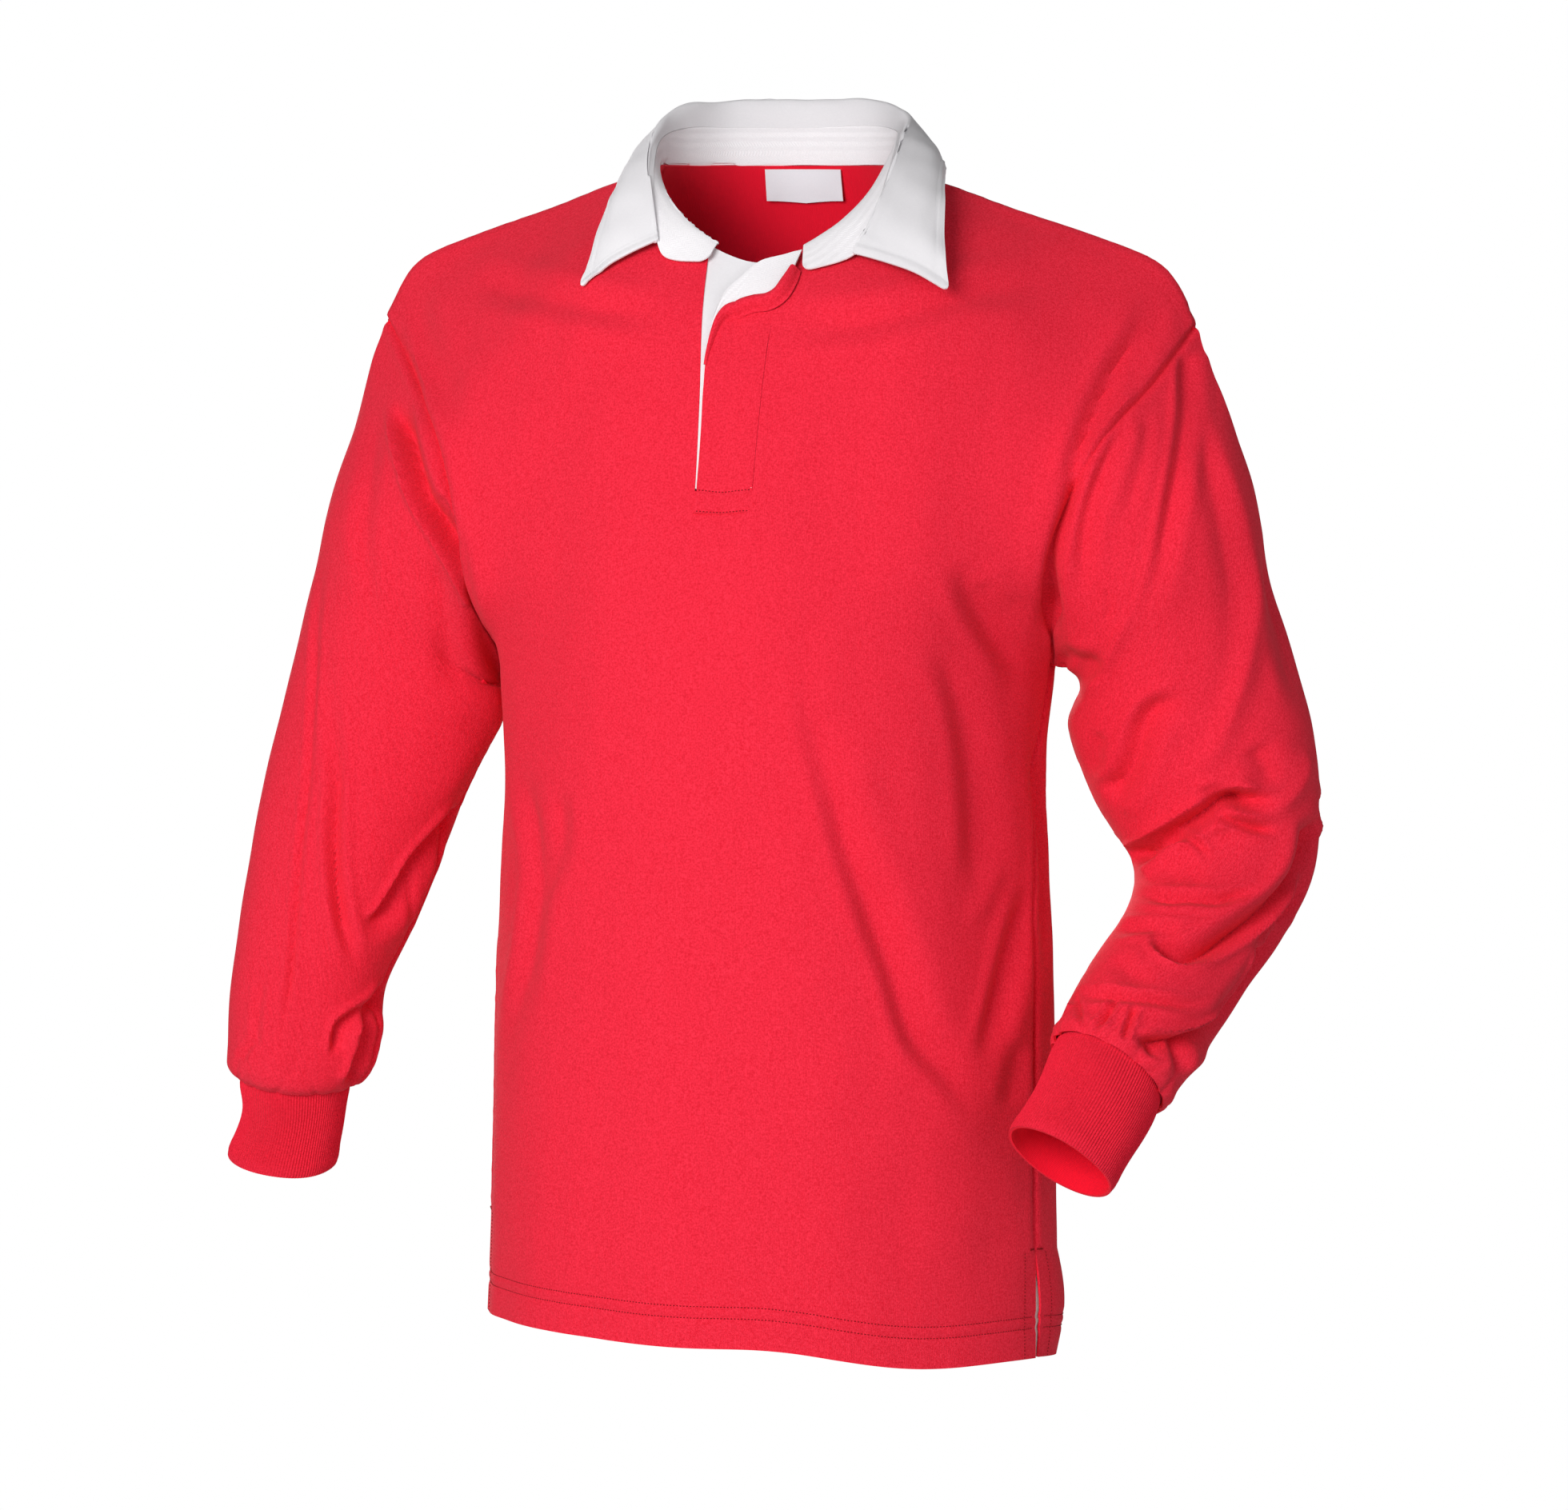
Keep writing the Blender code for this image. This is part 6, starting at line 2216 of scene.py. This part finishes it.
@dataclass(frozen=True)
class Graph:
    """Short ways to add nodes to a tree. A signal is a socket, or a plain number or colour."""

    tree: bpy.types.NodeTree

    def set(self, node: bpy.types.Node, signals: Signals) -> None:
        """Feed a node's sockets.

        Args:
            node: The node.
            signals: What feeds each socket, by the socket's name or number.
        """
        for key, signal in signals.items():
            if isinstance(signal, bpy.types.NodeSocket):
                self.tree.links.new(signal, node.inputs[key])
            else:
                node.inputs[key].default_value = (*signal, 1.0) if isinstance(signal, tuple) else signal

    def feed(self, kind: str, signals: Signals | None = None, **options: str) -> bpy.types.Node:
        """Return a new node.

        Args:
            kind: Type of the node.
            signals: What feeds each socket, by the socket's name or number.
            options: The node's own settings.

        Returns:
            The node.
        """
        node = self.tree.nodes.new(kind)
        for name, option in options.items():
            setattr(node, name, option)
        self.set(node, signals or {})
        return node

    def math(self, operation: str, first: Signal, second: Signal = 0.0) -> Socket:
        """Return the result of a sum."""
        return self.feed("ShaderNodeMath", {0: first, 1: second}, operation=operation).outputs[0]

    def plus(self, first: Signal, second: Signal) -> Socket:
        """Return the total of two signals."""
        return self.math("ADD", first, second)

    def minus(self, first: Signal, second: Signal) -> Socket:
        """Return the first signal less the second."""
        return self.math("SUBTRACT", first, second)

    def times(self, first: Signal, second: Signal) -> Socket:
        """Return the product of two signals."""
        return self.math("MULTIPLY", first, second)

    def over(self, first: Signal, second: Signal) -> Socket:
        """Return the first signal divided by the second."""
        return self.math("DIVIDE", first, second)

    def mixed(self, first: Signal, part: float, second: Signal, rest: float) -> Socket:
        """Return the total of two signals, each times its own part."""
        return self.plus(self.times(first, part), self.times(second, rest))

    def parts(self, vector: Socket) -> bpy.types.bpy_prop_collection:
        """Return the sockets X, Y and Z of a vector."""
        return self.feed("ShaderNodeSeparateXYZ", {0: vector}).outputs

    def cloth_place(self) -> tuple[Socket, Socket]:
        """Return the place across and along the cloth, in metres."""
        parts = self.parts(self.feed("ShaderNodeUVMap", uv_map=CLOTH_UV).outputs["UV"])
        return parts["X"], parts["Y"]

    def join(self, x: Signal, y: Signal) -> Socket:
        """Return a vector of two numbers."""
        return self.feed("ShaderNodeCombineXYZ", {0: x, 1: y}).outputs[0]

    def noise(self, place: Socket, scale: float, detail: float) -> Socket:
        """Return a noise from 0 to 1 that changes about scale times in a metre."""
        signals = {"Vector": place, "Scale": scale, "Detail": detail}
        return self.feed("ShaderNodeTexNoise", signals).outputs["Fac"]

    def wave(self, value: Signal) -> Socket:
        """Return a wave from 0 to 1 that repeats for each whole number."""
        return self.plus(self.times(self.math("SINE", self.times(value, TURN)), 0.5), 0.5)

    def zigzag(self, value: Signal) -> Socket:
        """Return how far a value is from the middle between whole numbers, from 0 to 1."""
        return self.times(self.math("ABSOLUTE", self.minus(self.math("FRACT", value), 0.5)), 2.0)

    def blend(self, amount: Signal, low: Signal, high: Signal) -> Socket:
        """Return a colour between two colours."""
        signals = {"Factor": amount, "A": low, "B": high}
        return self.feed("ShaderNodeMix", signals, data_type="RGBA").outputs["Result"]


def jersey_weave(graph: Graph, u: Socket, v: Socket) -> tuple[Socket, Socket]:
    """Return height and painted shade of a plain knit: columns of small V stitches, coloured darker where
    they lie low.

    Args:
        graph: The material's nodes.
        u: Place across the cloth.
        v: Place along the cloth.

    Returns:
        The height and the tone.
    """
    drift = graph.times(graph.noise(graph.join(u, v), 260.0, 1.0), 2.2)
    arm = graph.zigzag(graph.plus(graph.over(u, WALE), drift))
    course = graph.plus(graph.over(v, COURSE), drift)
    leg = graph.wave(graph.plus(course, graph.times(arm, 0.55)))
    groove = graph.minus(1.0, graph.math("POWER", arm, 3.0))
    height = graph.mixed(leg, 0.45, groove, 0.55)
    return height, height


def rib_weave(graph: Graph, u: Socket, v: Socket) -> tuple[Socket, Socket]:
    """Return height and painted shade of a rib knit, whose u counts ribs; the shade darkens the valleys
    between ribs.
    """
    rib, course = graph.wave(graph.plus(u, 0.25)), graph.wave(graph.over(v, RIB_COURSE))
    return graph.mixed(rib, 0.7, course, 0.3), graph.plus(graph.times(rib, 0.8), 0.2)


def twill_weave(graph: Graph, u: Socket, v: Socket) -> tuple[Socket, Socket]:
    """Return height and painted shade of a twill: fine diagonal lines, darker in their grooves."""
    height = graph.wave(graph.over(graph.plus(u, v), TWILL_LINE))
    return height, graph.plus(graph.times(height, 0.3), 0.7)


def herringbone_weave(graph: Graph, u: Socket, v: Socket) -> tuple[Socket, Socket]:
    """Return height and painted shade of a herringbone tape, whose columns run along v; the shade darkens its
    grooves.

    Args:
        graph: Tree to add nodes to.
        u: Place across the cloth in metres.
        v: Place along it.

    Returns:
        The two signals.
    """
    column = graph.times(graph.zigzag(graph.over(u, CHEVRON)), 2.0)
    height = graph.wave(graph.plus(graph.over(v, CHEVRON_LINE), column))
    return height, graph.plus(graph.times(height, 0.6), 0.4)


def satin_weave(graph: Graph, u: Socket, v: Socket) -> tuple[Socket, Socket]:
    """Return height and painted shade of a smooth label, faintly darker in its grooves."""
    height = graph.wave(graph.over(v, SATIN_LINE))
    return height, graph.plus(graph.times(height, 0.15), 0.85)


def thread_weave(graph: Graph, u: Socket, v: Socket) -> tuple[Socket, Socket]:
    """Return height and painted shade of a twisted thread: one noise for both, darker where the twist lies
    low.
    """
    height = graph.noise(graph.feed("ShaderNodeTexCoord").outputs["Object"], THREAD_TWIST, 1.0)
    return height, height


WEAVES = {
    Weave.JERSEY: jersey_weave,
    Weave.RIB: rib_weave,
    Weave.TWILL: twill_weave,
    Weave.HERRINGBONE: herringbone_weave,
    Weave.SATIN: satin_weave,
    Weave.THREAD: thread_weave,
}
WALE, COURSE, RIB_COURSE = 1.15 * MM, 0.95 * MM, 1.0 * MM
TWILL_LINE, SATIN_LINE, THREAD_TWIST = 0.75 * MM, 0.5 * MM, 2600.0
CHEVRON, CHEVRON_LINE = 6.0 * MM, 1.9 * MM

PINK = (1.0, 0.62, 0.62)
PALE = (1.0, 1.0, 1.0)
# Red jersey and red rib: their inner face colour is a more saturated red than the outside, partly the knit's
# reverse side and partly painted shade for the inside of the neck and cuffs.
RED_JERSEY = Finish(
    "red jersey", Weave.JERSEY, (0.90, 0.026, 0.061), (0.68, 0.004, 0.021), roughness=0.88,
    sheen=0.04, sheen_tint=PINK, bump=0.00020, speckle=1.0, reverse_and_shade=(0.84, 0.004, 0.026))
# Red rib: its darker colour is painted shade in the valleys between the ribs, besides random colour
# differences.
RED_RIB = Finish(
    "red rib", Weave.RIB, (0.90, 0.020, 0.054), (0.56, 0.002, 0.016), roughness=0.90,
    sheen=0.04, sheen_tint=PINK, bump=0.00020, speckle=0.7, reverse_and_shade=(0.92, 0.004, 0.026))
WHITE_TWILL = Finish(
    "white twill", Weave.TWILL, (0.85, 0.83, 0.85), (0.78, 0.76, 0.785), 0.78, 0.08, PALE, 0.00008)
# White tape: lighter than the twill, partly its own white and partly painted light that lifts the shade
# inside the collar band.
WHITE_TAPE = Finish(
    "white tape", Weave.HERRINGBONE, (0.93, 0.905, 0.925), (0.81, 0.785, 0.81), 0.82, 0.08, PALE, 0.00009)
VENT_TAPE = Finish(
    "vent tape", Weave.HERRINGBONE, (0.84, 0.79, 0.75), (0.70, 0.65, 0.61), 0.84, 0.05, PALE, 0.00010)
WHITE_LABEL = Finish(
    "white label", Weave.SATIN, (0.84, 0.83, 0.87), (0.78, 0.77, 0.82), 0.45, 0.0, PALE, 0.00004)
# Red thread: painted far darker than the jersey, so that the stitch lines show as painted shade of their
# grooves.
SHADED_RED_THREAD = Finish(
    "shaded red thread", Weave.THREAD, (0.28, 0.001, 0.006), (0.22, 0.001, 0.004), 0.75, 0.05, PINK, 0.0)
WHITE_THREAD = Finish(
    "white thread", Weave.THREAD, (0.80, 0.79, 0.82), (0.70, 0.69, 0.73), 0.7, 0.05, PALE, 0.0)


# ---------------------------------------------------------------- studio


@dataclass(frozen=True)
class Lamp:
    """A soft square lamp that looks at the shirt.

    azimuth is in degrees round the shirt, 0 in front of the wearer, and elevation in degrees
    above the horizon. away is the distance from the shirt, and power is in watts.
    """

    name: str
    azimuth: float
    elevation: float
    away: float
    size: float
    power: float


@dataclass
class Studio:
    """Floor, light and camera."""

    lamps: tuple[Lamp, ...] = (
        Lamp("key", -11.0, 13.0, 3.2, 1.5, 84.0),
        Lamp("fill", 48.0, 8.0, 3.4, 1.6, 13.0),
        Lamp("back", 205.0, 14.0, 3.2, 1.6, 62.0),
    )
    azimuth: float = 15.0
    distance: float = 4.0
    centre_across: float = 0.0095
    centre_up: float = -0.3645
    frame_width: float = 0.98
    sensor: float = 36.0
    floor_up: float = -1.45
    floor_half: float = 3.0
    floor_grey: Trio = (0.66, 0.66, 0.66)
    ambient: float = 0.38
    dim_above: float = 0.55
    dim_below: float = 0.9
    backdrop: float = 1.0

    def build(self) -> None:
        """Make the floor, the light and the camera."""
        self.floor()
        self.sky()
        for lamp in self.lamps:
            self.light(lamp)
        self.camera()

    def floor(self) -> None:
        """Make a plain pale floor."""
        bpy.ops.object.select_all(action="DESELECT")
        bpy.ops.mesh.primitive_plane_add(size=2 * self.floor_half, location=(0.0, 0.0, self.floor_up))
        floor = bpy.context.object
        floor.name = "floor"
        bpy.ops.object.transform_apply(location=True, rotation=True, scale=True)
        material = bpy.data.materials.new("pale floor")
        material.use_nodes = True
        looks = {"Base Color": self.floor_grey, "Roughness": 0.9}
        Graph(material.node_tree).set(material.node_tree.nodes["Principled BSDF"], looks)
        floor.data.materials.append(material)

    def sky(self) -> None:
        """Light the scene evenly, with a white backdrop."""
        world = bpy.data.worlds.new("studio")
        bpy.context.scene.world = world
        world.use_nodes = True
        graph = Graph(world.node_tree)
        seen = graph.feed("ShaderNodeLightPath").outputs["Is Camera Ray"]
        up = graph.parts(graph.feed("ShaderNodeTexCoord").outputs["Generated"])["Z"]
        above = graph.times(graph.math("MAXIMUM", up, 0.0), self.dim_above)
        below = graph.times(graph.math("MINIMUM", up, 0.0), -self.dim_below)
        soft = graph.times(graph.minus(1.0, graph.plus(above, below)), self.ambient)
        level = graph.plus(graph.times(seen, graph.minus(self.backdrop, soft)), soft)
        graph.set(world.node_tree.nodes["Background"], {"Color": PALE, "Strength": level})
        bpy.context.scene.view_settings.view_transform = "Standard"
        bpy.context.scene.view_settings.look = "None"

    def aim(self, name: str, data: bpy.types.ID, out: Vector, away: float, target: Vector) -> Thing:
        """Add a lamp or camera that looks at a target.

        Args:
            name: Name of the object.
            data: The lamp or camera.
            out: Direction from the target to it.
            away: Distance from the target.
            target: Point that it looks at.

        Returns:
            The new object.
        """
        body = bpy.data.objects.new(name, data)
        body.location = target + out * away
        body.rotation_mode = "QUATERNION"
        body.rotation_quaternion = (-out).to_track_quat("-Z", "Y")
        bpy.context.scene.collection.objects.link(body)
        return body

    def light(self, lamp: Lamp) -> None:
        """Add a lamp.

        Args:
            lamp: Its place, size and power.
        """
        a, e = math.radians(lamp.azimuth), math.radians(lamp.elevation)
        out = Vector((math.sin(a) * math.cos(e), -math.cos(a) * math.cos(e), math.sin(e)))
        data = bpy.data.lights.new(lamp.name, "AREA")
        data.shape = "SQUARE"
        data.size = lamp.size
        data.energy = lamp.power
        self.aim(lamp.name, data, out, lamp.away, Vector((0.0, 0.0, self.centre_up)))

    def camera(self) -> None:
        """Add the camera, level with the chest and a little to the wearer's left."""
        a = math.radians(self.azimuth)
        across = Vector((math.cos(a), math.sin(a), 0.0))
        ahead = Vector((math.sin(a), -math.cos(a), 0.0))
        data = bpy.data.cameras.new("camera")
        data.sensor_fit = "HORIZONTAL"
        data.sensor_width = self.sensor
        data.lens = self.sensor * self.distance / self.frame_width
        data.clip_start, data.clip_end = 0.1, 50.0
        target = across * self.centre_across + Vector((0.0, 0.0, self.centre_up))
        bpy.context.scene.camera = self.aim("camera", data, ahead, self.distance, target)


# ---------------------------------------------------------------- the shirt


@dataclass
class Shirt:
    """The whole shirt, piece by piece."""

    body: Body = field(default_factory=Body)
    cuff: Cuff = field(default_factory=Cuff)
    collar: Collar = field(default_factory=Collar)
    placket: Placket = field(default_factory=Placket)
    trims: Trims = field(default_factory=Trims)
    threads: Threads = field(default_factory=Threads)

    def pieces(self) -> list[tuple[Cloth, Finish, str, tuple[str, ...]]]:
        """Return every piece of cloth, and sew the stitches.

        Returns:
            For each piece its finish, a slot name and the pieces that it hangs on.
        """
        cloth, rings = self.body.build()
        front, back = cloth["front_panel"], cloth["back_panel"]
        band, leaf = self.collar.build(self.body.pattern, front, back)
        fly = self.placket.build_fly(front)
        pieces = [
            (fly, RED_JERSEY, "red jersey", ("front_panel",)),
            (self.placket.build_under(front), WHITE_TWILL, "white twill", ("front_panel",)),
            (self.placket.build_roll(front), RED_JERSEY, "red jersey", ("placket_fly",)),
            (self.placket.build_tape(front), WHITE_TAPE, "white tape", ("placket_fly",)),
            (self.trims.label(back), WHITE_LABEL, "white label", ("back_panel",)),
            (self.trims.vent_tape(front, back), VENT_TAPE, "white tape", ("front_panel",)),
            (band, WHITE_TAPE, "white tape", ("front_panel",)),
            (leaf, WHITE_TWILL, "white twill", ("collar_band",)),
        ]
        self.threads.hems(front, back)
        self.threads.placket(fly, self.placket.box_rows)
        self.threads.collar(leaf, band)
        self.body.sink_placket(front)
        for name, arm in (("left", LEFT_ARM), ("right", RIGHT_ARM)):
            cuff = self.cuff.build("cuff_" + name, arm, rings[name])
            pieces.append((cuff, RED_RIB, "red rib", ("sleeve_" + name,)))
            pieces.append((cloth["sleeve_" + name], RED_JERSEY, "red jersey", ("front_panel", "back_panel")))
        pieces.append((front, RED_JERSEY, "red jersey", ("collar_band",)))
        pieces.append((back, RED_JERSEY, "red jersey", ("collar_band",)))
        return pieces

    def dress(self, piece: Cloth, finish: Material) -> None:
        """Args:
            piece: The cloth.
            finish: Its material.
        """
        made = piece.make(finish)
        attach(made, "root")
        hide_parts(piece.name)
        made.name = piece.name + "_cloth"
        width, tall, area = self.cut(piece)
        LOG.info("%s: %d faces, cut %.3f by %.3f m", made.name, len(made.data.polygons), width, tall)

    @staticmethod
    def cut(piece: Cloth) -> Trio:
        """Return the width, length and area of a piece's flat cut.

        Args:
            piece: The cloth.

        Returns:
            The three sizes, in metres and square metres.
        """
        wide = np.abs(piece.uv[:, -1, 0] - piece.uv[:, 0, 0])
        if piece.name.startswith("cuff"):
            wide = run_lengths(closed_up(piece.points, 1).transpose(1, 0, 2))[-1]
        rows = np.gradient(piece.uv[..., 1].mean(axis=1))
        area = float((np.broadcast_to(wide, rows.shape) * rows).sum())
        width, tall = float(np.max(wide)), float(piece.uv[-1, :, 1].max())
        return width, tall, min(area, width * tall)


def main() -> None:
    """Build the shirt and the studio round it."""
    logging.basicConfig(level=logging.INFO, format="%(name)s: %(message)s")
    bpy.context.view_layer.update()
    Studio().build()
    shirt = Shirt()
    pieces = shirt.pieces()
    shirt.threads.make(SHADED_RED_THREAD.make(), WHITE_THREAD.make())
    made = {finish: finish.make() for finish in dict.fromkeys(row[1] for row in pieces)}
    for piece, finish, slot, rests_on in pieces:
        shirt.dress(piece, made[finish])


if __name__ == "__main__":
    main()
